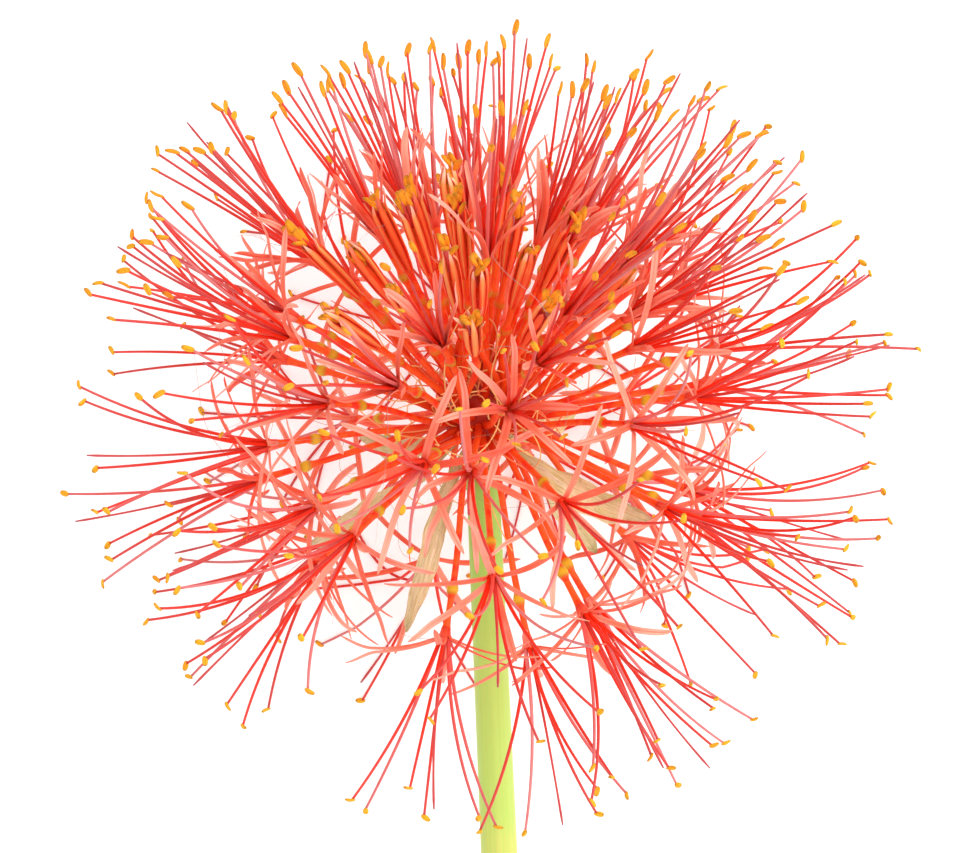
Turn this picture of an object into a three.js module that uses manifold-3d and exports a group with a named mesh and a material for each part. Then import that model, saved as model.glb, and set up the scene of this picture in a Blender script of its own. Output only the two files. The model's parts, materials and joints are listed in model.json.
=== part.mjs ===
// A cut blood lily lying on a table: a round head of narrow coral florets on a pale green stem.
// Millimetres, +Z up. The flower lies along +Y with its head towards +Y, and the table is z = 0.
// Florets stand round the knob at the stem's top in a golden-angle spiral: buds at the head's top,
// open florets over the rest. Each petal and stamen is turned until it is clear of its neighbours,
// and those under the head level out and lie along the table.
import * as THREE from "three";
import { mergeVertices } from "three/addons/utils/BufferGeometryUtils.js";
import Module from "manifold-3d";

const wasm = await Module();
wasm.setup();

const { Vector3 } = THREE;
const DEG = Math.PI / 180;

// The whole flower
const SEED = 7;
const STEM_LENGTH = 240;
const RISE_AT_HEAD = 16.5 * DEG;
const RISE_AT_CUT = 12.5 * DEG;
const LEAN = 2.5 * DEG;
const HEAD_Y = 69.6;

// The stem and the knob that carries the florets
const STEM_RADIUS_AT_CUT = 5.2;
const STEM_RADIUS_AT_NECK = 3.9;
const STEM_SIDES = 10;
const STEM_SPANS = 4;
const KNOB_RADIUS = 8.5;
const NECK_DISTANCE = 11;
const KNOB_POLARS = [0.9, 0.72, 0.55, 0.38, 0.2].map((share) => share * Math.PI);

// Florets: how many, and how they spread from the top (polar angle 0) towards the stem. The top
// nods towards the side that faces up, less and less further from it.
const FLORET_COUNT = 68;
const TOP_COUNT = 27;
const BUD_PATTERN = [true, true, false, true, true, true, false, true, true, false, true];
const BUDS_PER_SPRAY = 5;
const NOD = 22 * DEG;
const GOLDEN_ANGLE = 137.508 * DEG;
const SPIRAL_START = 173 * DEG;
const POLAR_MAX = 158 * DEG;
const POLAR_POWER = 2.3;
const ROOT_POLAR_MAX = 116 * DEG;
const BEARING_JITTER = 3.5 * DEG;
const SEAT_GAP = 0.3;

// The trunk of a floret: pedicel, ovary and tube
const PEDICEL_RADIUS = 0.9;
const OVARY_RADIUS = 1.7;
const OVARY_HALF_LENGTH = 2.4;
const TUBE_RADIUS = 0.9;
const THROAT_RADIUS = 1.6;
const THROAT_DEPTH = 1.3;
const TUBE_LENGTH = 10;

// Young and fully open florets; an older floret stands further out and opens wider
const YOUNG = {
  ovaryAt: 39, petalLength: 22, petalFrom: 16, petalTo: 38,
  stamenLength: 38, stamenFrom: 6, stamenTo: 12,
};
const OPEN = {
  ovaryAt: 44, petalLength: 24, petalFrom: 64, petalTo: 100,
  stamenLength: 43, stamenFrom: 14, stamenTo: 32,
};
const OPENS_FROM = 42 * DEG;
const OPENS_OVER = 30 * DEG;

// Petals, stamens and the style
const PARTS_PER_WHORL = 6;
const PETAL_WIDTH = 1.8;
const PETAL_THICKNESS = 0.7;
const FILAMENT_RADIUS = 0.42;
const ANTHER_LENGTH = 2.6;
const ANTHER_RADIUS = 0.62;
const STYLE_RADIUS = 0.38;
const RISE_OF_STAMENS = 0.45;

// Buds
const BUD_OVARY_AT = 32;
const BUD_TUBE = 7;
const BUD_LENGTH = 21;
const BUD_RADIUS = 2.5;

// Papery bracts under the head: where each points, in degrees, how far it is twisted, and its size
const BRACTS = [
  { azimuth: 184, polar: 119, twist: -85, length: 45, width: 8 },
  { azimuth: 130, polar: 150, twist: -60, length: 46, width: 6.5 },
  { azimuth: 18, polar: 108, twist: 80, length: 41, width: 9 },
  { azimuth: 338, polar: 146, twist: -85, length: 40, width: 8 },
  { azimuth: 304, polar: 72, twist: 75, length: 42, width: 8 },
  { azimuth: 226, polar: 84, twist: -80, length: 40, width: 8 },
  { azimuth: 264, polar: 122, twist: 35, length: 40, width: 8 },
];
const BRACT_STATIONS = [0, 3, 6, 9];
const BRACT_WIDTHS = [0.36, 0.85, 1, 0.85];
const BRACT_THICKNESS = 0.8;
const BRACT_ROOT_POLAR = 140 * DEG;
const BRACT_TURN = 0.7;

// Paths and clearances. Stations are the steps of a path that its solid passes through; a stamen
// whose throat is under LOW_THROAT has one more.
const PATH_STEPS = 12;
const PETAL_STATIONS = [0, 4, 9, 12];
const STAMEN_STATIONS = [0, 4, 12];
const LOW_STAMEN_STATIONS = [0, 3, 6, 12];
const STYLE_STATIONS = [0, 12];
const LOW_THROAT = 22;
const STAMEN_ABOVE_TABLE = 0.45;
const PETAL_ABOVE_TABLE = 0.3;
const ANTHER_END_ABOVE_TABLE = 0.2;
const THROAT_ABOVE_TABLE = 13;
const LANDING_RADIUS = 15;
const FLARE = 0.3;
const LYING_BELOW = 3;
const CLEARANCE = 0.5;
const TRUNK_TRIES = 600;
const ORGAN_TRIES = 200;

// A repeatable draw between 0 and 1 for a list of whole numbers, each mixed into a 32-bit hash
function draw(...keys) {
  let hash = SEED;
  for (const key of keys) {
    hash = Math.imul(hash ^ (key + 0x9e3779b9), 0x85ebca6b);
    hash ^= hash >>> 13;
    hash = Math.imul(hash, 0xc2b2ae35);
    hash ^= hash >>> 16;
  }
  return (hash >>> 0) / 4294967296;
}

const spread = (amount, ...keys) => amount * (2 * draw(...keys) - 1);
const clamp = (value) => Math.min(1, Math.max(0, value));
const mix = (a, b, share) => a + (b - a) * share;

// base + a * x + b * y ..., for vectors and their amounts given in pairs
function combine(base, ...pairs) {
  const sum = base.clone();
  for (let i = 0; i < pairs.length; i += 2) sum.addScaledVector(pairs[i], pairs[i + 1]);
  return sum;
}

// The head's own frame: its axis from the stem to the top, its right, and the side that faces up
const headAxis = new Vector3(
  -Math.sin(LEAN) * Math.cos(RISE_AT_HEAD),
  Math.cos(LEAN) * Math.cos(RISE_AT_HEAD),
  Math.sin(RISE_AT_HEAD),
);
const headRight = new Vector3(Math.cos(LEAN), Math.sin(LEAN), 0);
const headFront = headRight.clone().cross(headAxis);

function direction(polar, azimuth) {
  return new Vector3()
    .addScaledVector(headRight, Math.sin(polar) * Math.cos(azimuth))
    .addScaledVector(headFront, Math.sin(polar) * Math.sin(azimuth))
    .addScaledVector(headAxis, Math.cos(polar));
}

// The direction of a floret or its root: as above, and then nodded
function floretDirection(polar, azimuth) {
  return direction(polar, azimuth).applyAxisAngle(headRight, NOD * Math.cos(polar / 2) ** 2);
}

// The stem's centre line runs down from the knob and flattens out a little towards its cut end
function stemHeading(share) {
  const rise = mix(RISE_AT_HEAD, RISE_AT_CUT, share);
  const level = Math.cos(rise);
  return new Vector3(Math.sin(LEAN) * level, -Math.cos(LEAN) * level, -Math.sin(rise));
}

function stemLine() {
  const steps = 24;
  const points = [new Vector3()];
  for (let i = 0; i < steps; i++)
    points.push(combine(points[i], stemHeading((i + 0.5) / steps), STEM_LENGTH / steps));
  const drop = -points[steps].z;
  const centre = new Vector3(0, HEAD_Y, drop + STEM_RADIUS_AT_CUT * Math.cos(RISE_AT_CUT));
  return points.map((point) => point.add(centre));
}

const stemPoints = stemLine();
const headCentre = stemPoints[0].clone();

// Spans already taken: straight stretches of petals, stamens and the rest, each with its radius
const taken = [];

function distanceBetween(p, q) {
  const d1 = q.b.clone().sub(q.a);
  const d2 = p.b.clone().sub(p.a);
  const r = q.a.clone().sub(p.a);
  const a = d1.dot(d1);
  const e = d2.dot(d2);
  const f = d2.dot(r);
  const c = d1.dot(r);
  const b = d1.dot(d2);
  const scale = a * e - b * b;
  let s = scale > 1e-9 ? clamp((b * f - c * e) / scale) : 0;
  let t = (b * s + f) / e;
  if (t < 0) {
    t = 0;
    s = clamp(-c / a);
  } else if (t > 1) {
    t = 1;
    s = clamp((b - c) / a);
  }
  return combine(q.a, d1, s).distanceTo(combine(p.a, d2, t));
}

// Whether spans keep clear of all that is taken; spans at one owner's root may meet each other
function isClear(spans) {
  for (const span of spans) {
    for (const other of taken) {
      if (other.owner === span.owner && (span.atRoot || other.atRoot)) continue;
      const reach = span.radius + other.radius + CLEARANCE;
      if (span.middle.distanceTo(other.middle) > span.half + other.half + reach) continue;
      if (distanceBetween(span, other) < reach) return false;
    }
  }
  return true;
}

function makeSpan(a, b, radius, owner, atRoot = false) {
  const middle = a.clone().add(b).multiplyScalar(0.5);
  return { a, b, radius, owner, atRoot, middle, half: a.distanceTo(b) / 2 };
}

function spansAlong(points, radius, owner, firstAtRoot = false) {
  return points
    .slice(1)
    .map((point, i) => makeSpan(points[i], point, radius, owner, firstAtRoot && i === 0));
}

// How steeply a path may still fall at a height: it comes down in an arc and lands level
function steepestFall(height, step) {
  const arc = Math.max(0, 1 - Math.max(0, height) / LANDING_RADIUS);
  return Math.min(Math.sqrt(1 - arc * arc), Math.max(0, height) / step, 1);
}

// Walks from a root in equal steps. The heading turns from one angle off the floret's axis to
// another, leans sideways and towards the head's top, and levels out as it nears the table.
function walk(root, axis, out, { length, from, to, sway = 0, rise = 0, above = STAMEN_ABOVE_TABLE }) {
  const side = axis.clone().cross(out);
  const points = [root.clone()];
  const headings = [];
  for (let step = 0; step < PATH_STEPS; step++) {
    const along = (step + 0.5) / PATH_STEPS;
    const turn = mix(from, to, along);
    const leaning = combine(side.clone().multiplyScalar(sway * along), headAxis, rise * along);
    const heading = combine(leaning, axis, Math.cos(turn), out, Math.sin(turn)).normalize();
    const fall = steepestFall(points[step].z - above, length / PATH_STEPS);
    if (heading.z < -fall) {
      const flat = new Vector3(heading.x + FLARE * out.x, heading.y + FLARE * out.y, 0).normalize();
      heading.copy(flat.multiplyScalar(Math.sqrt(1 - fall * fall))).setZ(-fall);
    }
    headings.push(heading);
    points.push(combine(points[step], heading, length / PATH_STEPS));
  }
  headings.push(headings[PATH_STEPS - 1]);
  return { points, headings, side };
}

const atStations = (path, stations) => stations.map((station) => path.points[station]);

// Where floret i stands: its bearing from the knob, how open it is and its trunk's line
function bearing(i, attempt) {
  const share = (i + 0.5) / FLORET_COUNT;
  const loosen = BEARING_JITTER * (1 + 0.03 * attempt);
  const polar =
    Math.acos(1 - (1 - Math.cos(POLAR_MAX)) * share ** POLAR_POWER) + spread(loosen, i, attempt, 1);
  const sideways = spread(loosen, i, attempt, 2) / Math.sin(Math.max(0.2, polar));
  const azimuth = i * GOLDEN_ANGLE + SPIRAL_START + sideways;
  const rootPolar = Math.acos(1 - (1 - Math.cos(ROOT_POLAR_MAX)) * share);
  return { polar, azimuth, rootPolar };
}

// A size or angle, in millimetres or degrees, at an age from 0 (young) to 1 (open)
const grown = (age, name) => mix(YOUNG[name], OPEN[name], age);

const isBud = (i) => i < TOP_COUNT && BUD_PATTERN[i % BUD_PATTERN.length];

// A floret that points down is turned outwards until its throat is clear of the table
function clearOfTable(towards, reach) {
  const deepest = (THROAT_ABOVE_TABLE - headCentre.z) / reach;
  if (towards.z >= deepest) return towards;
  const outwards = Math.sqrt(1 - deepest * deepest) / Math.hypot(towards.x, towards.y);
  return new Vector3(towards.x * outwards, towards.y * outwards, deepest);
}

// A pedicel's line leaves the knob at its root's direction and bends towards its floret's
function trunkPoints(rootDirection, endDirection, reach) {
  const foot = reach - OVARY_HALF_LENGTH;
  return [0, 0.4, 1].map((share) => {
    const bend = share * (2 - share);
    const towards = rootDirection.clone().lerp(endDirection, bend).normalize();
    return combine(headCentre, towards, mix(KNOB_RADIUS + SEAT_GAP, foot, share));
  });
}

function planFloret(i) {
  for (let attempt = 0; attempt < TRUNK_TRIES; attempt++) {
    const { polar, azimuth, rootPolar } = bearing(i, attempt);
    const age = clamp((polar - OPENS_FROM) / OPENS_OVER + spread(0.2, i, 3));
    const reach = grown(age, "ovaryAt") + spread(2.5, i, 4);
    const tubeReach = reach + OVARY_HALF_LENGTH + TUBE_LENGTH;
    const towards = clearOfTable(floretDirection(polar, azimuth), tubeReach);
    const line = trunkPoints(floretDirection(rootPolar, azimuth), towards, reach);
    const throat = combine(line[2], towards, 2 * OVARY_HALF_LENGTH + TUBE_LENGTH);
    const spans = spansAlong(line, PEDICEL_RADIUS, i, true);
    spans.push(makeSpan(line[2], throat, OVARY_RADIUS, i, true));
    if (isClear(spans)) {
      taken.push(...spans);
      return { i, polar, age, towards, line, throat };
    }
  }
  throw new Error("floret " + i + " finds no room");
}

// Buds of one spray share a foot on the knob
function planSpray(members) {
  const bearings = members.map((i) => bearing(i, 0));
  const foot = new Vector3();
  for (const { rootPolar, azimuth } of bearings) foot.add(floretDirection(rootPolar, azimuth));
  foot.normalize();
  const owner = members[0];
  return members.map((i) => {
    for (let attempt = 0; attempt < TRUNK_TRIES; attempt++) {
      const { polar, azimuth } = bearing(i, attempt);
      const towards = floretDirection(polar, azimuth);
      const line = trunkPoints(foot, towards, BUD_OVARY_AT + spread(3, i, 4));
      const top = combine(line[2], towards, 2 * OVARY_HALF_LENGTH + BUD_TUBE + BUD_LENGTH);
      const spans = spansAlong(line, PEDICEL_RADIUS, owner, true);
      spans.push(makeSpan(line[2], top, BUD_RADIUS, owner));
      if (isClear(spans)) {
        taken.push(...spans);
        return { i, towards, line };
      }
    }
    throw new Error("bud " + i + " finds no room");
  });
}

// A shell of triangles that grows ring by ring; rings run anticlockwise seen from where they lead
class Skin {
  points = [];
  faces = [];

  ring(points) {
    return points.map((point) => this.points.push(point) - 1);
  }

  bridge(lower, upper) {
    lower.forEach((a, i) => {
      const next = (i + 1) % lower.length;
      this.faces.push([a, lower[next], upper[next]], [a, upper[next], upper[i]]);
    });
    return upper;
  }

  // Joins a ring to one with twice as many corners
  widen(lower, upper) {
    lower.forEach((a, i) => {
      const b = lower[(i + 1) % lower.length];
      const left = upper[2 * i];
      const middle = upper[2 * i + 1];
      const right = upper[(2 * i + 2) % upper.length];
      this.faces.push([a, b, middle], [a, middle, left], [b, right, middle]);
    });
    return upper;
  }

  closeStart(ring) {
    for (let i = 1; i < ring.length - 1; i++) this.faces.push([ring[0], ring[i + 1], ring[i]]);
  }

  closeEnd(ring) {
    for (let i = 1; i < ring.length - 1; i++) this.faces.push([ring[0], ring[i], ring[i + 1]]);
  }

  closeTo(ring, point) {
    const tip = this.points.push(point) - 1;
    ring.forEach((a, i) => this.faces.push([a, ring[(i + 1) % ring.length], tip]));
  }

  solid() {
    const vertProperties = new Float32Array(this.points.flatMap((p) => [p.x, p.y, p.z]));
    const triVerts = new Uint32Array(this.faces.flat());
    return new wasm.Manifold(new wasm.Mesh({ numProp: 3, vertProperties, triVerts }));
  }
}

// Corners of a regular ring round a point; startAngle is measured from out towards side
function corners(centre, out, side, radius, count, startAngle) {
  return Array.from({ length: count }, (_, i) => {
    const angle = startAngle + (i * 2 * Math.PI) / count;
    return combine(centre, out, radius * Math.cos(angle), side, radius * Math.sin(angle));
  });
}

// The part of a reference direction that is square to a heading
const squared = (reference, heading) =>
  combine(reference, heading, -reference.dot(heading)).normalize();

// The floret's whorl: direction k of six round its axis
function whorl(axis, turn) {
  const seedDirection = Math.abs(axis.dot(headAxis)) < 0.8 ? headAxis : headRight;
  const out = squared(seedDirection, axis);
  const side = axis.clone().cross(out);
  return (k, extra = 0) => {
    const angle = turn + (k * 2 * Math.PI) / PARTS_PER_WHORL + extra;
    return combine(new Vector3(), out, Math.cos(angle), side, Math.sin(angle));
  };
}

// Tries an organ's path again and again, each time turned a little more, until it is clear
function findRoom(make) {
  for (let attempt = 0; attempt < ORGAN_TRIES; attempt++) {
    const organ = make(attempt, 1 + 0.05 * attempt);
    if (isClear(organ.spans)) {
      taken.push(...organ.spans);
      return organ;
    }
  }
  return null;
}

function planPetal(floret, k) {
  const { i, age, towards, throat, radial } = floret;
  return findRoom((attempt, loosen) => {
    const out = radial(k, spread(6 * DEG * loosen, i, k, attempt, 11));
    const seat = THROAT_RADIUS * Math.cos(30 * DEG);
    const root = combine(throat, towards, -THROAT_DEPTH / 2, radial(k), seat);
    const path = walk(root, towards, out, {
      length: grown(age, "petalLength") + spread(2.5, i, k, 12) - 0.1 * attempt,
      from: (grown(age, "petalFrom") + spread(7 * loosen, i, k, attempt, 13)) * DEG,
      to: (grown(age, "petalTo") + spread(12 * loosen, i, k, attempt, 14)) * DEG,
      sway: spread(0.25 * loosen, i, k, attempt, 15),
      above: PETAL_ABOVE_TABLE,
    });
    const spans = spansAlong(atStations(path, PETAL_STATIONS), PETAL_WIDTH / 2, i, true);
    return { k, path, spans };
  });
}

function planStamen(floret, k) {
  const { i, polar, age, towards, throat, radial } = floret;
  const stations = throat.z < LOW_THROAT ? LOW_STAMEN_STATIONS : STAMEN_STATIONS;
  return findRoom((attempt, loosen) => {
    const out = radial(k, spread(8 * DEG * loosen, i, k, attempt, 21));
    const root = combine(throat, radial(k), 0.7 * THROAT_RADIUS);
    const path = walk(root, towards, out, {
      length: grown(age, "stamenLength") + spread(4, i, k, 22) - 0.15 * attempt,
      from: (grown(age, "stamenFrom") + spread(mix(1, 6, age) * loosen, i, k, attempt, 23)) * DEG,
      to: (grown(age, "stamenTo") + spread(mix(3, 13, age) * loosen, i, k, attempt, 24)) * DEG,
      sway: spread(mix(0.05, 0.25, age) * loosen, i, k, attempt, 25),
      rise: (RISE_OF_STAMENS * age * (1 + Math.cos(polar))) / 2,
    });
    const tip = path.points[PATH_STEPS];
    const heading = path.headings[PATH_STEPS];
    const across = squared(combine(path.side, out, spread(1.5, i, k, 26)), heading);
    const tilt = mix(12, 62, age) * DEG;
    const anther = combine(new Vector3(), heading, Math.cos(tilt), across, Math.sin(tilt));
    anther.z = Math.max(anther.z, -steepestFall(tip.z - ANTHER_END_ABOVE_TABLE, ANTHER_LENGTH));
    anther.normalize();
    const end = combine(tip, anther, ANTHER_LENGTH);
    const spans = spansAlong(atStations(path, stations), FILAMENT_RADIUS, i, true);
    spans.push(makeSpan(tip, end, ANTHER_RADIUS, i));
    return { k, path, stations, anther, end, spans };
  });
}

function planStyle(floret) {
  const { i, polar, age, towards, throat, radial } = floret;
  return findRoom((attempt, loosen) => {
    const out = radial(0, 2 * Math.PI * draw(i, attempt, 31));
    const path = walk(throat, towards, out, {
      length: grown(age, "stamenLength") + spread(5, i, 32) - 0.15 * attempt,
      from: 0,
      to: spread(mix(3, 16, age) * loosen, i, attempt, 33) * DEG,
      rise: (RISE_OF_STAMENS * age * (1 + Math.cos(polar))) / 2,
    });
    return { path, spans: spansAlong(atStations(path, STYLE_STATIONS), STYLE_RADIUS, i, true) };
  });
}

// Pedicel, ovary and the foot of the tube, as rings of three corners and then six
function growTrunk(skin, line, towards, reference) {
  const heading = (a, b) => b.clone().sub(a).normalize();
  const ringAt = (centre, along, radius, count) => {
    const out = squared(reference, along);
    return skin.ring(corners(centre, out, along.clone().cross(out), radius, count, -30 * DEG));
  };
  const root = ringAt(line[0], heading(headCentre, line[0]), PEDICEL_RADIUS, 3);
  skin.closeStart(root);
  let ring = skin.bridge(root, ringAt(line[1], heading(line[0], line[2]), PEDICEL_RADIUS, 3));
  ring = skin.bridge(ring, ringAt(line[2], towards, PEDICEL_RADIUS, 3));
  const ovary = combine(line[2], towards, OVARY_HALF_LENGTH);
  ring = skin.widen(ring, ringAt(ovary, towards, OVARY_RADIUS, 6));
  const tubeFoot = combine(line[2], towards, 2 * OVARY_HALF_LENGTH);
  return skin.bridge(ring, ringAt(tubeFoot, towards, TUBE_RADIUS, 6));
}

// A flat four-cornered blade that tapers to a point, and turns level where it lies on the table
function growPetal(skin, root, organ) {
  const { points, headings, side } = organ.path;
  let ring = root;
  for (const [station, width] of [[4, 1], [9, 0.85]]) {
    let across = squared(side, headings[station]);
    if (points[station].z < LYING_BELOW) {
      const level = new Vector3(-headings[station].y, headings[station].x, 0).normalize();
      across = level.multiplyScalar(level.dot(across) < 0 ? -1 : 1);
    }
    const front = headings[station].clone().cross(across);
    const [w, h] = [(PETAL_WIDTH / 2) * width, PETAL_THICKNESS / 2];
    const blade = [[-w, -h], [w, -h], [w, h], [-w, h]];
    ring = skin.bridge(
      ring, skin.ring(blade.map(([x, y]) => combine(points[station], across, x, front, y))),
    );
  }
  skin.closeTo(ring, points[PATH_STEPS]);
}

// A three-cornered filament with a spindle-shaped anther at its end
function growStamen(skin, root, organ) {
  const { points, headings, side } = organ.path;
  let ring = root;
  const triangle = (centre, heading, radius) => {
    const across = squared(side, heading);
    return skin.ring(corners(centre, across.clone().cross(heading), across, radius, 3, -60 * DEG));
  };
  for (const station of organ.stations.slice(1))
    ring = skin.bridge(ring, triangle(points[station], headings[station], FILAMENT_RADIUS));
  const swell = combine(points[PATH_STEPS], organ.anther, 0.4 * ANTHER_LENGTH);
  ring = skin.bridge(ring, triangle(swell, organ.anther, ANTHER_RADIUS));
  skin.closeTo(ring, organ.end);
}

function openFloret(floret) {
  const { towards, throat, radial, line } = floret;
  const skin = new Skin();
  const foot = growTrunk(skin, line, towards, radial(0));
  const side = towards.clone().cross(radial(0));
  const throatRing = (drop, radius) =>
    skin.ring(corners(combine(throat, towards, -drop), radial(0), side, radius, 6, -30 * DEG));
  const lower = skin.bridge(foot, throatRing(THROAT_DEPTH, THROAT_RADIUS));
  const upper = throatRing(0, THROAT_RADIUS);
  const inner = throatRing(0, 0.5 * THROAT_RADIUS);
  for (let k = 0; k < PARTS_PER_WHORL; k++) {
    const next = (k + 1) % PARTS_PER_WHORL;
    const flank = [lower[k], lower[next], upper[next], upper[k]];
    if (floret.petals[k]) growPetal(skin, flank, floret.petals[k]);
    else skin.closeEnd(flank);
    const seat = [upper[k], upper[next], inner[k]];
    if (floret.stamens[k]) growStamen(skin, seat, floret.stamens[k]);
    else skin.closeEnd(seat);
    skin.closeEnd([upper[next], inner[next], inner[k]]);
  }
  for (const k of [0, 2, 4]) skin.closeEnd([inner[k], inner[k + 1], inner[(k + 2) % 6]]);
  const styleSeat = [inner[0], inner[2], inner[4]];
  if (floret.style) skin.closeTo(styleSeat, floret.style.path.points[PATH_STEPS]);
  else skin.closeEnd(styleSeat);
  return skin.solid().trimByPlane([0, 0, 1], 0);
}

// A closed bud: a six-sided column that swells and draws in again at its tip
function budSolid(bud) {
  const { towards, line } = bud;
  const radial = whorl(towards, 2 * Math.PI * draw(bud.i, 5));
  const side = towards.clone().cross(radial(0));
  const skin = new Skin();
  let ring = growTrunk(skin, line, towards, radial(0));
  const start = combine(line[2], towards, 2 * OVARY_HALF_LENGTH + BUD_TUBE);
  for (const [along, width] of [[0.35, 0.95], [0.9, 0.75]]) {
    const centre = combine(start, towards, along * BUD_LENGTH);
    const section = corners(centre, radial(0), side, width * BUD_RADIUS, 6, -30 * DEG);
    ring = skin.bridge(ring, skin.ring(section));
  }
  skin.closeTo(ring, combine(start, towards, BUD_LENGTH));
  return skin.solid();
}

const spraySolid = (buds) => wasm.Manifold.union(buds.map(budSolid));

// The direction across a bract, which turns more and more towards its tip
function acrossBract(path, station, twist) {
  const across = squared(path.side, path.headings[station]);
  return across.applyAxisAngle(path.headings[station], (twist * DEG * station) / PATH_STEPS);
}

function planBract({ azimuth, polar, twist, length, width }, index) {
  const around = azimuth * DEG;
  const offKnob = KNOB_RADIUS + SEAT_GAP + 0.2;
  const root = combine(headCentre, direction(BRACT_ROOT_POLAR, around), offKnob);
  const towards = direction(polar * DEG, around);
  const out = direction(polar * DEG + Math.PI / 2, around);
  const turn = BRACT_TURN * (BRACT_ROOT_POLAR - polar * DEG);
  const path = walk(root, towards, out, { length, from: turn, to: -0.3 * turn });
  const tip = path.points[PATH_STEPS];
  for (const lane of [-0.62, 0, 0.62]) {
    const points = BRACT_STATIONS.map((station, i) => {
      const offset = (lane * BRACT_WIDTHS[i] * width) / 2;
      return combine(path.points[station], acrossBract(path, station, twist), offset);
    });
    taken.push(...spansAlong([...points, tip], (0.38 * width) / 2, 1000 + index));
  }
  return { path, twist, width };
}

function bractSolid({ path, twist, width }) {
  const skin = new Skin();
  const rings = BRACT_STATIONS.map((station, i) => {
    const across = acrossBract(path, station, twist);
    const front = path.headings[station].clone().cross(across);
    const half = (BRACT_WIDTHS[i] * width) / 2;
    const arch = 0.28 * half;
    const [top, bottom] = [BRACT_THICKNESS / 2, -BRACT_THICKNESS / 2];
    const section = [
      [-half, bottom], [0, bottom + arch], [half, bottom],
      [half, top], [0, top + arch], [-half, top],
    ];
    return skin.ring(section.map(([x, y]) => combine(path.points[station], across, x, front, y)));
  });
  skin.closeStart(rings[0]);
  rings.reduce((lower, upper) => skin.bridge(lower, upper));
  skin.closeTo(rings.at(-1), path.points[PATH_STEPS]);
  return skin.solid();
}

// The stem with the knob at its top, as rings from the cut end up
function stemSolid() {
  const skin = new Skin();
  const along = stemPoints.length - 1;
  const ringAt = (centre, heading, radius) => {
    const out = squared(headFront, heading);
    return skin.ring(corners(centre, out, heading.clone().cross(out), radius, STEM_SIDES, 0));
  };
  const neckShare = NECK_DISTANCE / STEM_LENGTH;
  const pointAt = (share) => {
    const place = share * along;
    const below = Math.min(along - 1, Math.floor(place));
    return stemPoints[below].clone().lerp(stemPoints[below + 1], place - below);
  };
  const rings = [];
  for (let i = 0; i <= STEM_SPANS; i++) {
    const share = mix(1, neckShare, i / STEM_SPANS);
    const radius = mix(STEM_RADIUS_AT_CUT, STEM_RADIUS_AT_NECK, i / STEM_SPANS);
    rings.push(ringAt(pointAt(share), stemHeading(share).negate(), radius));
  }
  for (const polar of KNOB_POLARS) {
    const centre = combine(headCentre, headAxis, KNOB_RADIUS * Math.cos(polar));
    const radius = Math.max(STEM_RADIUS_AT_NECK, KNOB_RADIUS * Math.sin(polar));
    rings.push(ringAt(centre, headAxis, radius));
  }
  skin.closeStart(rings[0]);
  rings.reduce((lower, upper) => skin.bridge(lower, upper));
  skin.closeTo(rings.at(-1), combine(headCentre, headAxis, KNOB_RADIUS));
  return skin.solid();
}

function takeStem() {
  const line = stemPoints.filter((_, i) => i % 4 === 0);
  taken.push(...spansAlong(line, STEM_RADIUS_AT_CUT, 2000));
}

// Sprays of buds: the buds sorted round the head, five by five
function sprayMembers() {
  const buds = Array.from({ length: TOP_COUNT }, (_, i) => i).filter(isBud);
  const turnOf = (i) => (i * GOLDEN_ANGLE) % (2 * Math.PI);
  buds.sort((a, b) => turnOf(a) - turnOf(b));
  const sprays = [];
  for (let i = 0; i < buds.length; i += BUDS_PER_SPRAY)
    sprays.push(buds.slice(i, i + BUDS_PER_SPRAY));
  return sprays;
}

function addMesh(group, name, solid, material) {
  const { numProp, numVert, vertProperties, triVerts } = solid.getMesh();
  const positions = new Float32Array(numVert * 3);
  for (let i = 0; i < numVert; i++)
    positions.set(vertProperties.subarray(i * numProp, i * numProp + 3), i * 3);
  const geometry = new THREE.BufferGeometry()
    .setAttribute("position", new THREE.BufferAttribute(positions, 3))
    .setIndex(new THREE.BufferAttribute(new Uint32Array(triVerts), 1));
  const mesh = new THREE.Mesh(mergeVertices(geometry), material);
  mesh.name = name;
  group.add(mesh);
}

const materials = {
  stem: new THREE.MeshStandardMaterial({ color: 0xb4dc5a, roughness: 0.5 }),
  bract: new THREE.MeshStandardMaterial({ color: 0xcdb878, roughness: 0.85 }),
  floret: new THREE.MeshStandardMaterial({ color: 0xf0301c, roughness: 0.5 }),
  bud: new THREE.MeshStandardMaterial({ color: 0xf2744a, roughness: 0.5 }),
};

function buildFlower() {
  const group = new THREE.Group();
  const numbered = (name, index) => name + "_" + String(index + 1).padStart(2, "0");
  takeStem();
  const bracts = BRACTS.map(planBract);
  const sprays = sprayMembers().map(planSpray);
  const florets = [];
  for (let i = 0; i < FLORET_COUNT; i++) if (!isBud(i)) florets.push(planFloret(i));
  for (const floret of florets) {
    floret.radial = whorl(floret.towards, 2 * Math.PI * draw(floret.i, 5));
    floret.stamens = Array.from({ length: PARTS_PER_WHORL }, (_, k) => planStamen(floret, k));
    floret.style = planStyle(floret);
    floret.petals = Array.from({ length: PARTS_PER_WHORL }, (_, k) => planPetal(floret, k));
  }
  addMesh(group, "stem", stemSolid(), materials.stem);
  const addAll = (name, plans, solid, material) =>
    plans.forEach((plan, i) => addMesh(group, numbered(name, i), solid(plan), material));
  addAll("bract", bracts, bractSolid, materials.bract);
  addAll("floret", florets, openFloret, materials.floret);
  addAll("bud_spray", sprays, spraySolid, materials.bud);
  return group;
}

export default buildFlower();
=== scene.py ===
"""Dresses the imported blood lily: a cut flower head of narrow coral florets that lies on a white table.

The florets, petals and stamens stand where the solids stand: the growth rule below is the one that
placed the solids, worked out again in millimetres. Each piece is then a surface on a grid, carried
along those lines, and it replaces its solid.
"""

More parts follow.
